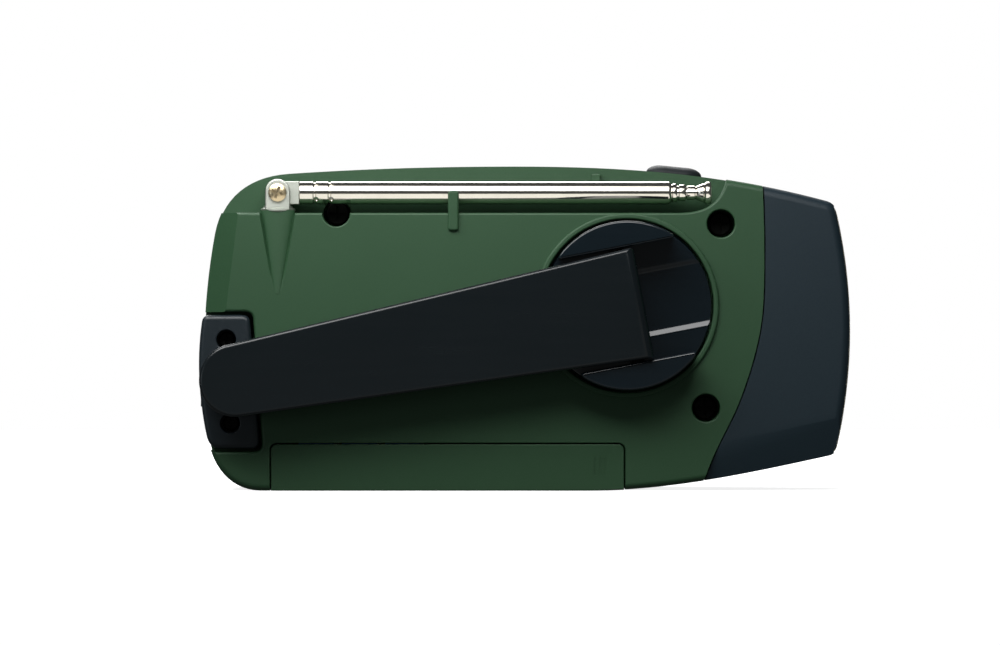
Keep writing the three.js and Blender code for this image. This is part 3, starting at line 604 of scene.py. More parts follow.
def bezier(start, first, second, end, steps):
    points = []
    for i in range(steps):
        t = i / steps
        points.append(Vector(start) * (1 - t) ** 3 + Vector(first) * 3 * t * (1 - t) ** 2
                      + Vector(second) * 3 * t * t * (1 - t) + Vector(end) * t ** 3)
    return points


def quadratic(start, middle, end, steps):
    start, middle, end = Vector(start), Vector(middle), Vector(end)
    return bezier(start, start + (middle - start) * 2 / 3, end + (middle - end) * 2 / 3, end, steps)


def outline(inset=0.0):
    # the housing from the front, counter-clockwise from the flat of the foot
    corner, long = 14, 22
    points = [
        *bezier((-14, 0), (10, 0), (40, 0), (60, 0), 2),
        *bezier((60, 0), (66.5, 0), (71.6, 5), (72.3, 14), corner),
        *bezier((72.3, 14), (73.6, 30), (73.2, 44), (70.6, 58), corner),
        *bezier((70.6, 58), (69, 66.5), (63, 71.2), (54, 71.8), corner),
        *bezier((54, 71.8), (36, 73), (20, 73.45), (2, 73.45), long),
        *bezier((2, 73.45), (-25, 73.45), (-46, 71.4), (-68, 65.45), long),
        *quadratic((-68, 65.45), (-70, 64.8), (-70.5, 62.3), 6),
        *quadratic((-70.5, 62.3), (-76.3, 36.5), (-70.6, 10.4), long),
        *quadratic((-70.6, 10.4), (-70.2, 8.3), (-68.5, 7.9), 6),
        *bezier((-68.5, 7.9), (-50, 3.8), (-32, 0), (-14, 0), long),
    ]
    return offset(points, inset) if inset else points


def spline(points, steps):
    # a smooth line through a few points
    ends = [Vector(points[0]) * 2 - Vector(points[1]), *map(Vector, points),
            Vector(points[-1]) * 2 - Vector(points[-2])]
    line = []
    for a, b, c, d in zip(ends, ends[1:], ends[2:], ends[3:]):
        for i in range(steps):
            t = i / steps
            line.append(0.5 * (2 * b + (c - a) * t + (2 * a - 5 * b + 4 * c - d) * t * t
                               + (3 * b - a - 3 * c + d) * t ** 3))
    return [*line, ends[-2]]


def capZone(move):
    seam = spline([(-53.2, 76), (-53.8, 54.4), (-53, 37), (-48.6, 21.2), (-42.5, 8.2), (-38.2, -3)], 8)
    far = -housing["farX"]
    points = [(p.x + move, p.y) for p in seam] + [(far, -3), (far, 76)]
    points.reverse()
    return slab(points, housing["front"] - 2, housing["back"] + 2)


shelf = {"z": 62.75, "floor": 8, "lip": 0.55}
antenna = {"x": 56.25, "y": 13, "z": 67.35}


def shelfZone(margin, flare=None):
    far = housing["farX"]
    low = shelf["z"] - margin
    points = [(far, 80), (-46 - margin, 80), *quadratic((-45.5 - margin, 71.5), (-44.2 - margin, low),
                                                        (-34.7, low), 14), (-34.7, low), (far, low)]
    top = housing["back"] + 3
    return slab(points, shelf["floor"] - margin, top, flare=flare)


blockSize = {"low": 9.5, "high": 39.7, "floor": 10, "top": 17.6, "corner": 2, "clear": 0.7}


def blockOutline(margin):
    low, high, r = blockSize["low"] - margin, blockSize["high"] + margin, blockSize["corner"]
    inner, topInner = 60.4 - margin, 62.4 - margin
    return [
        *quadratic((inner, low + r), (inner, low), (inner + r, low), 6),
        *quadratic((69.6 + margin, low), (71.5 + margin, low + 0.2), (72.2 + margin, low + 2.6), 8),
        *quadratic((72.2 + margin, low + 2.6), (75.1 + margin, 26), (73.3 + margin, high - 1.4), 14),
        *quadratic((73.3 + margin, high - 1.4), (73 + margin, high), (71.4 + margin, high), 6),
        *quadratic((topInner + r, high), (topInner, high), (topInner, high - r), 6),
        Vector((topInner, high - r)),
    ]


housingScrews = ((-43.9, 60.3, 9), (-40.5, 18.7, 9), (43, 62.8, 5.6))
blockScrews = ((67.8, 34.1), (66.9, 15.3))
door = {"x": (-22, 57.7), "top": 10.5, "front": -12, "corner": 1.4}
cup = {"inner": 19.66, "outer": 20.86, "floor": 12.5, "lip": 17.8}
controls = {"speaker": (37, 38), "tuning": (-31, 30), "volume": (-5, 27), "band": (-5, 42),
            "charge": (13, 58)}
dial = {"x": (-39.5, 8), "z": (50, 64)}


def doorWay():
    gap, x = housing["gap"], door["x"]
    wide = (x[0] - gap, x[1] + gap)
    return [block(wide, (door["front"] - gap, housing["back"] + 1), (-1, housing["wall"] + 0.4)),
            slab(panel(wide, (-3, door["top"] + gap), 1.6), housing["back"] - 2.4, housing["back"] + 1,
                 flare=(housing["back"], 0.2))]


def wedge(start, end, tilt, before=0, after=0, sink=0):
    # shaves the back face to the right of a line, falling away at an angle
    start, end = Vector(start), Vector(end)
    along = (end - start).normalized()
    out = Vector((along.y, -along.x))
    top = housing["back"] - sink
    drop = 30 * math.tan(math.radians(tilt))
    first, last = start - along * before, end + along * after
    rings = []
    for p in (first, last):
        far = p + out * 30
        rings.append([(p.x, top, p.y), (far.x, top - drop, far.y),
                      (far.x, top + 6, far.y), (p.x, top + 6, p.y)])
    return loft(rings)


def housingBlock():
    return slab(outline(), housing["front"], housing["back"], lowRound=housing["frontRound"],
                highRound=housing["backRound"], steps=6)


def hollow():
    wall = housing["wall"]
    return slab(outline(wall), housing["front"] + wall, housing["back"] - wall)


sixteenths = [i / 16 * math.pi for i in range(17)]   # a half turn for arcs
facet = {"line": ((68.1, 39), (65.0, 63.5)), "tilt": 44}
fairing = {"top": 63.4, "low": 44.5, "half": 3.9, "deep": 1.7}


def pivotFairing():
    # below the antenna's pivot a tapering groove runs out, with a half-cone lying in it
    x, back = antenna["x"], housing["back"]
    groove, cone = [], []
    for i in range(13):
        t = i / 12
        z = fairing["top"] * (1 - t) + fairing["low"] * t
        half = fairing["half"] * (1 - t) + 0.6 * t
        deep = fairing["deep"] * (1 - t) ** 0.8
        wide, narrow, floor = half + 0.35, half - 0.2, back - deep
        groove.append([(x - wide, back + 1, z), (x - wide, back, z), (x - narrow, floor, z),
                       (x + narrow, floor, z), (x + wide, back, z), (x + wide, back + 1, z)])
        height = deep * 0.75 + 0.15 * t
        arc = [(x + half * math.cos(a), floor - 0.05 + height * math.sin(a)) for a in sixteenths[:-1]]
        foot = [(x - half, floor - 0.4), (x - half, floor - 0.6), (x + half, floor - 0.6)]
        cone.append([(px, py, z - 0.01) for px, py in arc + foot])
    return loft(groove), loft(cone)


def makeBackShell():
    back, gap, wall = housing["back"], housing["gap"], housing["wall"]
    far = housing["farX"]
    x, z = crankCentre
    room = cut(hollow(), drum(cup["outer"] + 0.8, cup["floor"] - wall, back, x, z), shelfZone(wall),
               slab(blockOutline(wall + blockSize["clear"]), blockSize["floor"] - gap - wall, back),
               wedge(*facet["line"], facet["tilt"], 2, 3, wall * 1.3),
               *[drum(4.9, housing["parting"], back, sx, sz, 40) for sx, sz, _ in housingScrews])
    half = common(housingBlock(), block((-far, far), (housing["parting"] + gap / 2, back + 1), (-1, 76)))
    shell = cut(half, room, wedge(*facet["line"], facet["tilt"], 1, 2), shelfZone(0, (back, shelf["lip"])))
    ring = cut(drum(cup["outer"], back - 1, cup["lip"], x, z, 96, highRound=0.45),
               drum(cup["inner"] - 0.05, back - 3, back + 3, x, z, 96, flare=(cup["lip"], 0.4)))
    shell = join(cut(shell, drum(cup["inner"], cup["floor"], back + 1, x, z, 96)), ring)
    groove, cone = pivotFairing()
    shell = join(cut(shell, groove), cone)
    # snap hook over the stowed antenna, and the nub on the shelf
    hook = slab(panel((15.3, 17.75), (58.7, 67.8), 0.7), antenna["y"] + 3.15, 17.8, highRound=0.5)
    foot = slab(panel((15.3, 17.75), (58.7, 62.4), 0.7), back - 2, 17)
    nub = slab(panel((-16.8, -14.8), (69.8, 71.7), 0.3), shelf["floor"] - 0.5, 10, highRound=0.25)
    shell = join(shell, hook, foot, nub)
    wells = []
    for sx, sz, seat in housingScrews:
        wells += [drum(3.15, seat, back + 1, sx, sz, 48, flare=(back, 0.35)),
                  drum(1.75, 0, seat + 1, sx, sz, 24)]
    pocket = slab(blockOutline(blockSize["clear"]), blockSize["floor"] - gap, back + 2, flare=(back, 0.7))
    pivotBore = turned([(0, 1.75), (9.5, 1.75)], (antenna["x"], antenna["y"], 54), (0, 0, 1), 24)
    return cut(shell, capZone(gap / 2), pocket, *doorWay(), drum(3.5, 8, back, x, z, 32), pivotBore, *wells,
               *[drum(1.35, 6, back, sx, sz, 20) for sx, sz in blockScrews])


button = {"x": -34, "y": -8, "half": 6.35, "across": 4, "lean": 5.6, "brow": 72.1, "top": 73.86}


def buttonShape(margin, bottom):
    # a stadium that leans with the slope of the top, domed when it is the button itself
    half, across = button["half"] + margin, button["across"] + margin
    lean = math.radians(button["lean"])
    layers = [(bottom, 0), (75, 0)]
    if not margin:
        rise = button["top"] - button["brow"]
        layers = [(bottom, 0)] + [(button["brow"] + rise * math.sin(t * math.pi / 22),
                                   3.3 * (1 - math.cos(t * math.pi / 22))) for t in range(11)]
    rings = []
    for height, inset in layers:
        ring = []
        for side in (1, -1):
            for i in range(17):
                turn = -side * math.pi / 2 + i / 16 * math.pi
                centre = (half - across) * side
                ring.append((centre + (across - inset) * math.cos(turn), (across - inset) * math.sin(turn)))
        rise = height - 72
        rings.append([(button["x"] + u * math.cos(lean) - rise * math.sin(lean), button["y"] + v,
                       72 + rise * math.cos(lean) + u * math.sin(lean)) for u, v in ring])
    return loft(rings)


def makeFrontShell():
    front, gap, far = housing["front"], housing["gap"], housing["farX"]
    parting = housing["parting"]
    room = cut(hollow(), *[drum(3.4, front, parting, sx, sz, 40) for sx, sz, _ in housingScrews])
    half = common(housingBlock(), block((-far, far), (front - 1, parting - gap / 2), (-1, 76)))
    pane = panel((dial["x"][0] - gap, dial["x"][1] + gap), (dial["z"][0] - gap, dial["z"][1] + gap), 2.3)
    holes = [drum(21, front - 1, front + 3, *controls["speaker"], 96), slab(pane, front - 1, -15),
             drum(3.3, front - 1, -15, *controls["tuning"], 40),
             drum(3.3, front - 1, -15, *controls["volume"], 40),
             drum(1.9, front - 1, -15, *controls["charge"], 32)]
    bx, bz = controls["band"]
    holes += [slab(panel((bx - 6.4, bx + 6.4), (bz - 1.8, bz + 1.8), 1.2), front - 1, -15),
              block((-20.3, 45.3), (-15.3, -2.7), (62, 76)), buttonShape(gap, 60),
              block((66, far), (-15.3, -1.7), (17.7, 46.3)),
              *[drum(1.6, -10, 2, sx, sz, 20) for sx, sz, _ in housingScrews]]
    return cut(half, room, capZone(gap / 2), *doorWay(), *holes)


def makeEndCap():
    lensRoom = cut(slab(outline(-2), -14.3, 13.3), slab(outline(1.5), -15, 14),
                   block((-66.5, housing["farX"]), (-20, 20), (-5, 80)))
    trim = cut(slab(outline(-2), housing["front"] - 1, housing["back"] + 1),
               slab(outline(0.55), housing["front"] - 2, housing["back"] + 2),
               block((-69.5, housing["farX"]), (-30, 30), (-5, 80)))
    shell = slab(outline(), housing["front"], housing["back"], lowRound=housing["frontRound"],
                 highRound=2.3, steps=7)
    body = common(shell, capZone(-housing["gap"] / 2))
    # a soft slope along the lower edge
    return cut(body, hollow(), lensRoom, trim, wedge((-75, 17.6), (-38, 9.4), 13),
               block((-housing["farX"], -68), (-9.6, 9.6), (17.4, 55.6)))


def makeLens():
    body = cut(slab(outline(0.12), -14, 13, lowRound=0.4, highRound=0.4), slab(outline(1.2), -15, 14))
    return common(body, block((-housing["farX"], -66.8), (-20, 20), (-5, 80)))


def makeStrapBlock():
    body = slab(blockOutline(0), blockSize["floor"], blockSize["top"], lowRound=0.3, highRound=1.1, steps=6)
    wells = []
    for sx, sz in blockScrews:
        wells += [drum(2.2, 12.9, blockSize["top"] + 1, sx, sz, 40, flare=(blockSize["top"], 0.3)),
                  drum(1.3, 9, 14, sx, sz, 20)]
    slot = block((70.2, housing["farX"]), (11.8, 15.8), (19.5, 30.5))
    bar = turned([(0, 1.1), (12, 1.1)], (72.6, 13.8, 19), (0, 0, 1), 24)
    return join(cut(body, slot, *wells), bar)


def makeDoor():
    x, back = door["x"], housing["back"]
    upright = slab(panel(x, (-4, door["top"]), door["corner"]), back - 1.8, back, highRound=0.22, steps=3)
    base = block(x, (door["front"], back - 1), (-4, 1.7))
    body = common(join(upright, base), slab(outline(), housing["front"], back, highRound=0.35, steps=3))
    grips = {"count": 3, "pitch": 1.2, "x": -17.9, "z": (3.5, 7.5), "depth": 0.15}
    rib = slab(panel((grips["x"] - 0.3, grips["x"] + 0.3), grips["z"], 0.3), back - grips["depth"], back + 1)
    row = grow(ribRow(), rib, {"Count": grips["count"], "Pitch": grips["pitch"] * mm},
               finishes["green_plastic"])
    return cut(body, row)


# the crank

arm = {"rootU": -3.7, "rootHalf": 12.55, "endU": 89.4, "endR": 8.2, "low": 18.3, "high": 28, "round": 0.85,
       "rootRound": 2.0, "pinY": 23.15, "hingeU": 91.5, "knobY": 22.3}
rotor = {"radius": 19.07, "base": 12.9, "shelf": 16.8, "trough": 16.25, "troughHalf": 6.4, "landR": 19,
         "landInner": 12.95, "landTop": 26.2}


def onArm(u, v):
    # u runs down the folded arm, v across it
    return (crankCentre[0] + u * math.cos(armLean) + v * math.sin(armLean),
            crankCentre[1] - u * math.sin(armLean) + v * math.cos(armLean))


def armPanel(u, v):
    return [onArm(p, q) for p, q in ((u[0], v[0]), (u[1], v[0]), (u[1], v[1]), (u[0], v[1]))]


def raised(points):
    # (u, v, depth) points on the arm, in the housing's drawing
    spots = [(onArm(u, v), depth) for u, v, depth in points]
    return [(x, depth, z) for (x, z), depth in spots]


def armBar(radius, start, end, depth, sides=32):
    first = Vector(onArm(*start))
    along = Vector(onArm(*end)) - first
    return turned([(0, radius), (along.length, radius)], (first.x, depth, first.y),
                  (along.x, 0, along.y), sides)


def armOutline():
    root, half, end, r = arm["rootU"], arm["rootHalf"], arm["endU"], arm["endR"]
    points = [*quadratic((root, -half + 1), (root, -half), (root + 1, -half), 5)]
    for i in range(41):
        turn = -math.pi / 2 + i / 40 * math.pi
        points.append(Vector((end + r * math.cos(turn), r * math.sin(turn))))
    points += [*quadratic((root + 1, half), (root, half), (root, half - 1), 5), Vector((root, half - 1))]
    return [onArm(*p) for p in points]


def makeArm():
    body = slab(armOutline(), arm["low"], arm["high"], lowRound=0.5, highRound=arm["round"], steps=7)
    # the hinged end rolls over more than the long edges do
    roll, root, high = arm["rootRound"], arm["rootU"], arm["high"]
    edge = root + roll
    side = [(120, arm["low"] - 1), (120, high + 1), (edge + 1, high + 1), (edge + 1, high)]
    side += [(edge - roll * math.sin(i * math.pi / 20), high - roll + roll * math.cos(i * math.pi / 20))
             for i in range(11)]
    side.append((root, arm["low"] - 1))
    body = common(body, loft([raised([(u, v, y) for u, y in side]) for v in (-20, 20)]))
    cutters = []
    for start in (9, 23, 37):
        half = 10.6 - start * 0.055
        for v in ((-half, -0.8), (0.8, half)):
            cutters.append(slab(armPanel((start, start + 12), v), arm["low"] - 1, arm["high"] - 2))
    cutters += [slab(armPanel((57, 94.5), (-4.3, 4.3)), arm["low"] - 1, 26.4),
                armBar(1.6, (0, -15), (0, 15), arm["pinY"]),
                armBar(1.35, (arm["hingeU"], -5.9), (arm["hingeU"], 5.9), arm["knobY"])]
    return cut(body, *cutters)


def makeRotor():
    x, z = crankCentre
    disc = drum(rotor["radius"], rotor["base"], rotor["shelf"], x, z, 128, highRound=0.35)
    shaft = drum(3, 2.2, rotor["base"] + 1, x, z, 6)
    body = join(disc, landShape(1), landShape(-1), shaft)
    # the trough down the middle has sloping walls, with a fine groove beside the lower one
    half, low, high = rotor["troughHalf"], rotor["trough"], rotor["shelf"]
    slope = (high - low) / math.tan(math.radians(22))
    upper, lower = half + slope * 0.7, -half - slope
    line = lower - 0.3
    trough = [(-half, low), (half, low), (upper, high), (upper, high + 3), (lower, high + 3), (lower, high)]
    groove = [(line, high - 0.15), (line + 0.15, high + 1), (line - 0.35, high + 1)]
    cutters = [loft([raised([(u, v, y) for v, y in section]) for u in (-40, 40)])
               for section in (trough, groove)]
    return cut(body, *cutters, armBar(1.6, (0, -16.9), (0, 16.9), arm["pinY"]))


def landShape(side):
    # a D-shaped cheek with rounded ends and a rolled top edge
    radius, inner, corner = rotor["landR"], rotor["landInner"], 1.1
    reach = math.sqrt(radius ** 2 - inner ** 2)
    start = math.asin(inner / radius)
    turns = [start + i / 48 * (math.pi - 2 * start) for i in range(49)]
    arc = [(radius * math.cos(turn), radius * math.sin(turn)) for turn in turns]
    arc = [p for p in arc if abs(p[0]) < reach - corner * 0.9]
    chord = [*quadratic(arc[-1], (-reach, inner), (-reach + corner * 1.6, inner), 6),
             *quadratic((reach - corner * 1.6, inner), (reach, inner), arc[0], 6)]
    placed = [onArm(u, v * side) for u, v in [*arc[:-1], *chord]]
    area = sum(a[0] * b[1] - b[0] * a[1] for a, b in zip(placed, placed[1:] + placed[:1]))
    if area < 0:
        placed.reverse()
    return slab(placed, rotor["shelf"] - 1, rotor["landTop"], highRound=0.5, steps=4)


def makeKnobParts():
    h, y = arm["hingeU"], arm["knobY"]
    stem = join(armBar(2.2, (h, -3.9), (h, 3.9), y), armBar(1.2, (h, -5.6), (h, 5.6), y, 20),
                armBar(1.5, (60.8, 0), (90.5, 0), y, 24), armBar(2.6, (60.7, 0), (61.9, 0), y, 24))
    finished(stem, "knobStem", "knob_pivot", "screw_steel", "knob_stem")
    start = Vector(onArm(86.9, 0))
    along = Vector((-math.cos(armLean), 0, math.sin(armLean)))
    profile = [(0, 3.0), (0.3, 3.5), (1, 3.8), (3, 3.8), (9, 3.55), (12.5, 3.45), (16, 3.55), (21, 3.8),
               (23.5, 3.8), (24.2, 3.5), (24.5, 3.0)]
    grip = turned(profile, (start.x, y, start.y), along, 48)
    bore = armBar(1.62, (60, 0), (90, 0), y, 24)
    finished(cut(grip, bore), "knobGrip", "knob", "gloss_black", "crank_knob")


# the antenna

def makeAntenna():
    px, py, pz = antenna["x"], antenna["y"], antenna["z"]
    bore = [1.1, 0, 30, px, pz, 24]
    cheek = [(px - 2.8, 63.4), (px + 2.8, 63.4)]
    cheek += [(px + 2.8 * math.cos(a), pz + 0.3 + 2.8 * math.sin(a)) for a in sixteenths]
    ears = cut(slab(cheek, py - 3.4, py + 3.4, lowRound=0.35, highRound=0.35),
               block((px - 4, px + 4), (py - 2.1, py + 2.1), (64.3, 80)))
    foot = turned([(0, 3.6), (0.25, 3.9), (0.7, 3.9), (0.95, 3.3), (1.4, 3.3)], (px, py, 63.05), (0, 0, 1))
    pin = turned([(0, 1.5), (9, 1.5)], (px, py, 55), (0, 0, 1), 24)
    base = cut(join(ears, foot, pin), drum(*bore))
    finished(base, "antennaYoke", "antenna_swivel_base", "nickel", "antenna_base", finish="satin_nickel")
    head = turned([(0, 1.9), (0.15, 2.05), (0.5, 2.05), (0.85, 1.5), (0.95, 0.6)], (px, py + 3.5, pz),
                  (0, 1, 0), 40)
    shank = drum(0.95, py - 3.3, py + 3.7, px, pz, 20)
    slots = []
    for turn in (20, 110):
        c, s = math.cos(math.radians(turn)), math.sin(math.radians(turn))
        corners = ((-1.35, -0.26), (1.35, -0.26), (1.35, 0.26), (-1.35, 0.26))
        slots.append(slab([(px + u * c - v * s, pz + u * s + v * c) for u, v in corners], py + 3.95, py + 6))
    finished(cut(join(head, shank), *slots), "antennaPivotScrew", "antenna_swivel_base", "nickel",
             "antenna_screw", finish="pivot_screw")
    tongue = [(px + 2.6 * math.sin(a), pz - 2.6 * math.cos(a)) for a in sixteenths]
    tongue += [(51.4, pz + 2.6), (51.4, pz - 2.6)]
    endBlock = cut(slab(tongue, py - 1.95, py + 1.95, lowRound=0.2, highRound=0.2), drum(*bore))
    finished(endBlock, "antennaEndBlock", "antenna_1", "nickel", finish="satin_nickel")
    # the outer tube is rolled in twice and dimpled beside each ring
    ahead = (-1, 0, 0)
    tube = [(0, 2.1), (0.25, 2.6), (3.15, 2.6), (3.35, 2.42), (3.75, 2.42), (3.95, 2.6), (6.55, 2.6),
            (6.75, 2.42), (7.15, 2.42), (7.35, 2.6), (83.6, 2.6), (83.9, 2.45), (84.2, 2.2), (84.3, 2.08)]
    dimples = []
    for dx in (47.6, 44.2):
        for lean in (-35, 35, 145, 215):
            out = Vector((0, math.cos(math.radians(lean)), math.sin(math.radians(lean))))
            dimples.append(turned([(0, 0.5), (0.3, 0.62), (1, 0.75)], Vector((dx, py, pz)) + out * 2.2,
                                  out, 16))
    outer = cut(turned(tube, (51.5, py, pz), ahead, 48),
                turned([(0, 2.05), (86, 2.05)], (50.4, py, pz), ahead, 40), *dimples)
    finished(outer, "antennaTube1", "antenna_1", "nickel", "antenna_tube_1")
    # each inner tube ends in a swaged rim
    rims = ((2, 49.6, 1.68, [(0, 1.95), (82.55, 1.95), (82.6, 2.0), (82.75, 2.15), (83.4, 2.15), (83.6, 2.05),
                             (83.7, 1.85)]),
            (3, 47.8, 1.33, [(0, 1.6), (82.2, 1.6), (82.25, 1.75), (82.4, 1.9), (83.6, 1.9), (83.8, 1.8),
                             (83.9, 1.55)]))
    for number, start, inner, profile in rims:
        tube = cut(turned(profile, (start, py, pz), ahead, 40),
                   turned([(0, inner), (90, inner)], (start - 1, py, pz), ahead, 32))
        finished(tube, f"antennaTube{number}", f"antenna_{number}", "nickel", f"antenna_tube_{number}")
    tip = turned([(0, 1.25), (82.2, 1.25), (82.3, 1.5), (82.5, 1.62), (84.0, 1.62), (84.25, 1.42),
                  (84.4, 1.42), (84.6, 1.65), (85.4, 1.95), (86.0, 2.2), (86.15, 2.1), (86.3, 2.25),
                  (86.6, 2.5), (87.3, 2.55), (87.7, 2.4), (87.93, 1.9), (88, 1.2)], (46, py, pz), ahead, 48)
    finished(tip, "antennaTube4", "antenna_4", "nickel", "antenna_tube_4")


# fasteners

def crossScrew(x, z, seat, headR, shankR, length):
    head = drum(headR, seat, seat + 1.8, x, z, 40, highRound=0.5)
    shank = drum(shankR, seat - length, seat + 0.1, x, z, 24)
    reach = headR * 0.68
    slots = [block((x - reach, x + reach), (seat + 0.9, seat + 3), (z - 0.32, z + 0.32)),
             block((x - 0.32, x + 0.32), (seat + 0.9, seat + 3), (z - reach, z + reach))]
    return cut(join(head, shank), *slots)


def screwSet():
    # one screw copied to every point of a mesh
    tree, start = nodeGroup("screwSet", {})
    tree.interface.new_socket("Screw", in_out="INPUT", socket_type="NodeSocketObject")
    shape = addNode(tree, "GeometryNodeObjectInfo", links={"Object": start.outputs["Screw"]})
    copies = addNode(tree, "GeometryNodeInstanceOnPoints",
                     links={"Points": start.outputs["Geometry"], "Instance": shape.outputs["Geometry"]})
    endGroup(tree, start, copies.outputs[0])
    return tree


def placeScrews(screw, places, name, *replaced):
    moved(screw, -shift)
    spots = bpy.data.meshes.new("screwPlaces")
    spots.from_pydata([(Vector(place) + shift) * mm for place in places], [], [])
    row = grow(screwSet(), link(spots), {"Screw": screw}, finishes["screw_steel"])
    bpy.data.objects.remove(screw)
    finished(row, name, "housing", "screw_steel", *replaced)


def makeScrews():
    placeScrews(crossScrew(0, 0, 0.3, 2.7, 1.3, 13.6), [(x, seat, z) for x, z, seat in housingScrews],
                "housingScrews", "housing_screw_1", "housing_screw_2", "housing_screw_3")
    placeScrews(crossScrew(0, 0, 0, 1.85, 1, 6.2), [(x, 13.2, z) for x, z in blockScrews],
                "blockScrews", "block_screw_1", "block_screw_2")


# the front

def makeKnob(name, at, radius, ribs, node):
    # ribs stand round the rim; a dimple takes the fingertip
    x, z = at
    knob = join(drum(radius - 0.35, -20, -18.3, x, z, 96, lowRound=0.45), drum(3, -18.5, -13.4, x, z, 32))
    rib = bpy.data.meshes.new("rib")
    form = bmesh.new()
    bmesh.ops.create_cone(form, cap_ends=True, segments=10, radius1=0.42 * mm, radius2=0.36 * mm,
                          depth=1.3 * mm)
    bmesh.ops.recalc_face_normals(form, faces=form.faces)
    form.to_mesh(rib)
    form.free()
    ring = grow(ribRing(), link(rib), {"Count": ribs, "Radius": (radius - 0.37) * mm},
                finishes["block_plastic"])
    ring.data.transform(Matrix.Rotation(math.radians(90), 4, "X"))
    ring.data.transform(Matrix.Translation((Vector((x, -19.1, z)) + shift) * mm))
    dimple = turned([(0, 0.2), (0.6, 1.2), (1.4, 2.6)], (x, -19.6, z + radius * 0.6), (0, -1, 0), 32)
    finished(cut(join(knob, ring), dimple), name, node, "block_plastic", node)


def makeGrille():
    x, z = controls["speaker"]
    ring = cut(drum(20.7, -18.2, -16.4, x, z, 128, lowRound=0.4), drum(18.6, -19, -15, x, z, 96))
    bars = {"count": 9, "pitch": 4.2, "radius": 19.0, "half": 1.15}
    bar = slab(panel((-bars["radius"], bars["radius"]), (-bars["half"], bars["half"]), 0.4), -18.1, -16.5,
               lowRound=0.35)
    moved(bar, -shift)
    row = grow(grilleBars(), bar, {"Count": bars["count"], "Pitch": bars["pitch"] * mm,
                                   "Radius": bars["radius"] * mm}, finishes["grille_plastic"])
    moved(row, shift + Vector((x, 0, z)))
    post = slab(panel((x - 1, x + 1), (z - 18.8, z + 18.8), 0.3), -17.6, -16.5)
    finished(join(ring, row, post), "speakerGrille", "housing", "grille_plastic", "speaker_grille")


def makeDial():
    window = slab(panel(dial["x"], dial["z"], 2), -18, -16.8, lowRound=0.3, highRound=0.1, steps=3)
    finished(window, "dialWindow", "housing", "clear_plastic", "dial_window")
    low, high = dial["x"][0] + 1, dial["x"][1] - 1
    card = slab(panel((low, high), (dial["z"][0] - 1, dial["z"][1] - 0.5), 0.4), -15.2, -14.4)
    finished(card, "dialCard", "housing", "dial_card", "dial_scale")
    # two rows of scale ticks and their generic numbers
    ticks = {"count": 21, "pitch": 2.0}
    start = (low + high) / 2 - (ticks["count"] - 1) * ticks["pitch"] / 2
    for row, bottom in enumerate((58.2, 55.2)):
        tick = block((start - 0.11, start + 0.11), (-15.3, -15.15), (bottom, bottom + 1.6))
        line = grow(ribRow(), tick, {"Count": ticks["count"], "Pitch": ticks["pitch"] * mm},
                    finishes["print_ink"])
        finished(line, f"dialTicks{row + 1}", "housing", "dial_card", finish="print_ink")
    for row, (words, height) in enumerate(((("88", "92", "96", "100", "104", "108"), 60.3),
                                           (("53", "70", "90", "120", "140", "160"), 52.4))):
        for i, word in enumerate(words):
            curve = bpy.data.curves.new("number", "FONT")
            curve.body = word
            curve.size = 2.6 * mm
            curve.extrude = 0.06 * mm
            curve.align_x = "CENTER"
            text = bpy.data.objects.new("number", curve)
            bpy.context.scene.collection.objects.link(text)
            graph = bpy.context.evaluated_depsgraph_get()
            mesh = bpy.data.meshes.new_from_object(text.evaluated_get(graph))
            bpy.data.objects.remove(text)
            mesh.transform(Matrix.Rotation(math.radians(90), 4, "X"))
            place = Vector((start + i * 8, -15.25, height)) + shift
            mesh.transform(Matrix.Translation(place * mm))
            mesh.name = f"dialNumber{row}{i}"
            finished(link(mesh), f"dialNumber{row}{i}", "housing", "dial_card", finish="print_ink")


def band(outer, inner, x, y):
    return common(cut(slab(outline(outer), -20, 0), slab(outline(inner), -21, 1)), block(x, y, (62, 76)))


def makeTop():
    finished(band(0, 1.2, (-20, 45), (-15, -3)), "solarPane", "housing", "clear_plastic", "solar_window")
    finished(band(1.5, 2.1, (-19.6, 44.6), (-14.6, -3.4)), "solarCells", "housing", "solar_silicon",
             "solar_cell")
    finished(buttonShape(0, 68.6), "lightButton", "light_button", "button_rubber", "light_button")


def makeFlap():
    flap = common(cut(slab(outline(0.1), -15, -2, lowRound=0.3, highRound=0.3), slab(outline(1.4), -16, -1)),
                  block((66, housing["farX"]), (-20, 0), (18, 46)))
    finger = turned([(0, 1.2), (1.6, 2.2), (4, 3.5)], (72.6, -13.2, 32), (1, 0, 0), 32)
    finished(cut(flap, finger), "portCover", "port_cover", "flap_rubber", "port_cover")


def makeControls():
    makeKnob("tuningKnob", controls["tuning"], 12.5, 48, "tuning_knob")
    makeKnob("volumeKnob", controls["volume"], 8, 32, "volume_knob")
    x, z = controls["band"]
    slider = join(slab(panel((x - 2.2, x + 2.2), (z - 1.5, z + 1.5), 0.5), -19.2, -15.4, lowRound=0.3),
                  block((x - 2.6, x + 2.6), (-15.7, -14.2), (z - 2.4, z + 2.4)))
    ribs = [block((x + d - 0.2, x + d + 0.2), (-19.5, -18.9), (z - 2, z + 2)) for d in (-1.2, 0, 1.2)]
    finished(cut(slider, *ribs), "bandSlider", "band_slider", "block_plastic", "band_slider")
    x, z = controls["charge"]
    lamp = turned([(0, 1.5), (4.2, 1.5), (4.7, 1.2), (4.9, 0.6)], (x, -13, z), (0, -1, 0), 32)
    finished(lamp, "chargeLamp", "housing", "pointer_red", "charge_led")


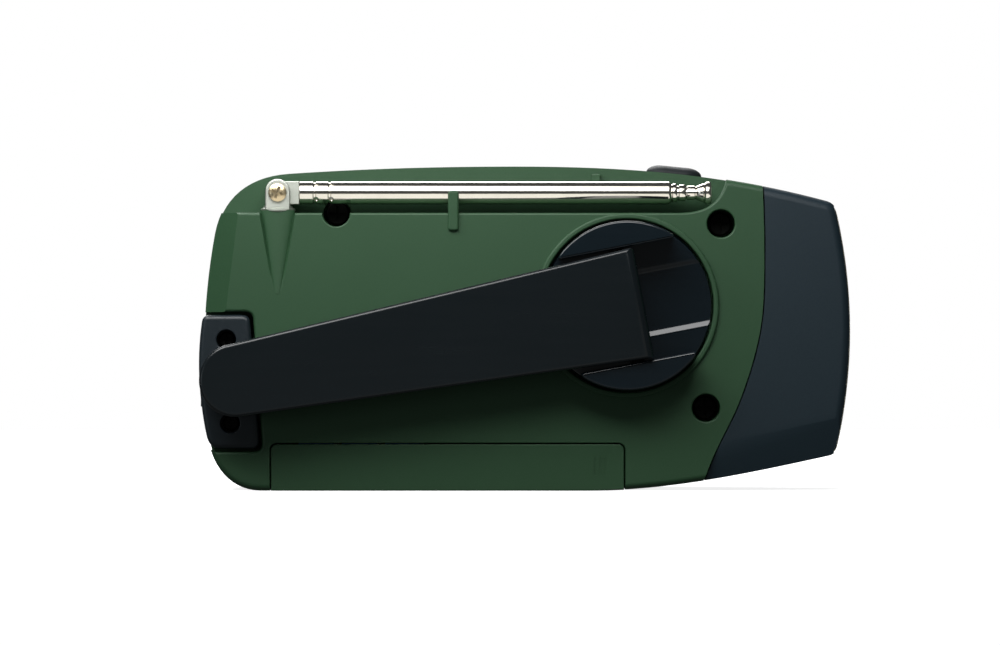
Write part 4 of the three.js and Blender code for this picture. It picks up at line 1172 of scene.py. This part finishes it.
def dressFrame():
    # what stays as the frame's own solid takes its slot's finish
    slots = {s["node"]: s["material_slot"] for s in frame["record"]["subparts"]}
    for name, node in frame["nodes"].items():
        node.data.materials.clear()
        node.data.materials.append(finishes[slots[name]])


def makeFloor():
    form = bmesh.new()
    bmesh.ops.create_grid(form, x_segments=1, y_segments=1, size=0.7)
    mesh = bpy.data.meshes.new("floor")
    form.to_mesh(mesh)
    form.free()
    floor = link(mesh)
    material = mouldedPlastic("paleStudioCard", {"tone": "#f4f6f6", "toneAlt": "#f7f9f9", "grain": 8,
                                                 "rough": 0.85, "swing": 0.02, "relief": 0.02})
    shader = material.node_tree.nodes["Principled BSDF"]
    shader.inputs["Emission Color"].default_value = linear("#ffffff")
    shader.inputs["Emission Strength"].default_value = 0.84   # a light table, so the floor stays pale
    floor.data.materials.append(material)
    floor.visible_glossy = False   # its glow would veil the dark plastics
    floor.visible_diffuse = False


setCamera()
setLight()
finishes = makeFinishes()
print("camera, light and finishes ready")
dressFrame()
makeFloor()
finished(makeBackShell(), "backShell", "housing", "green_plastic", "back_shell")
finished(makeFrontShell(), "frontShell", "housing", "green_plastic", "front_shell")
finished(makeEndCap(), "endCap", "housing", "cap_plastic", "end_cap")
finished(makeLens(), "torchLens", "housing", "clear_plastic", "flashlight_lens", finish="lens_plastic")
finished(makeStrapBlock(), "strapBlock", "housing", "block_plastic", "strap_block")
finished(makeDoor(), "batteryDoor", "battery_door", "green_plastic", "battery_door")
print("housing done")
finished(makeArm(), "crankArm", "arm", "gloss_black", "crank_arm")
finished(makeRotor(), "crankRotor", "crank", "gloss_black", "crank_rotor", finish="rotor_black")
makeKnobParts()
makeAntenna()
makeScrews()
brightPieces = ["antennaYoke", "antennaPivotScrew", "antennaEndBlock", "antennaTube1", "antennaTube2",
                "antennaTube3", "antennaTube4"]
lightOnly("highCard", brightPieces)
lightOnly("lowCard", brightPieces)
lightOnly("edgeCard", ["crankArm", "crankRotor"])
print("crank, antenna and screws done")
makeGrille()
makeDial()
makeTop()
makeFlap()
makeControls()
print("front and top done")
bpy.context.scene.view_settings.view_transform = "Standard"
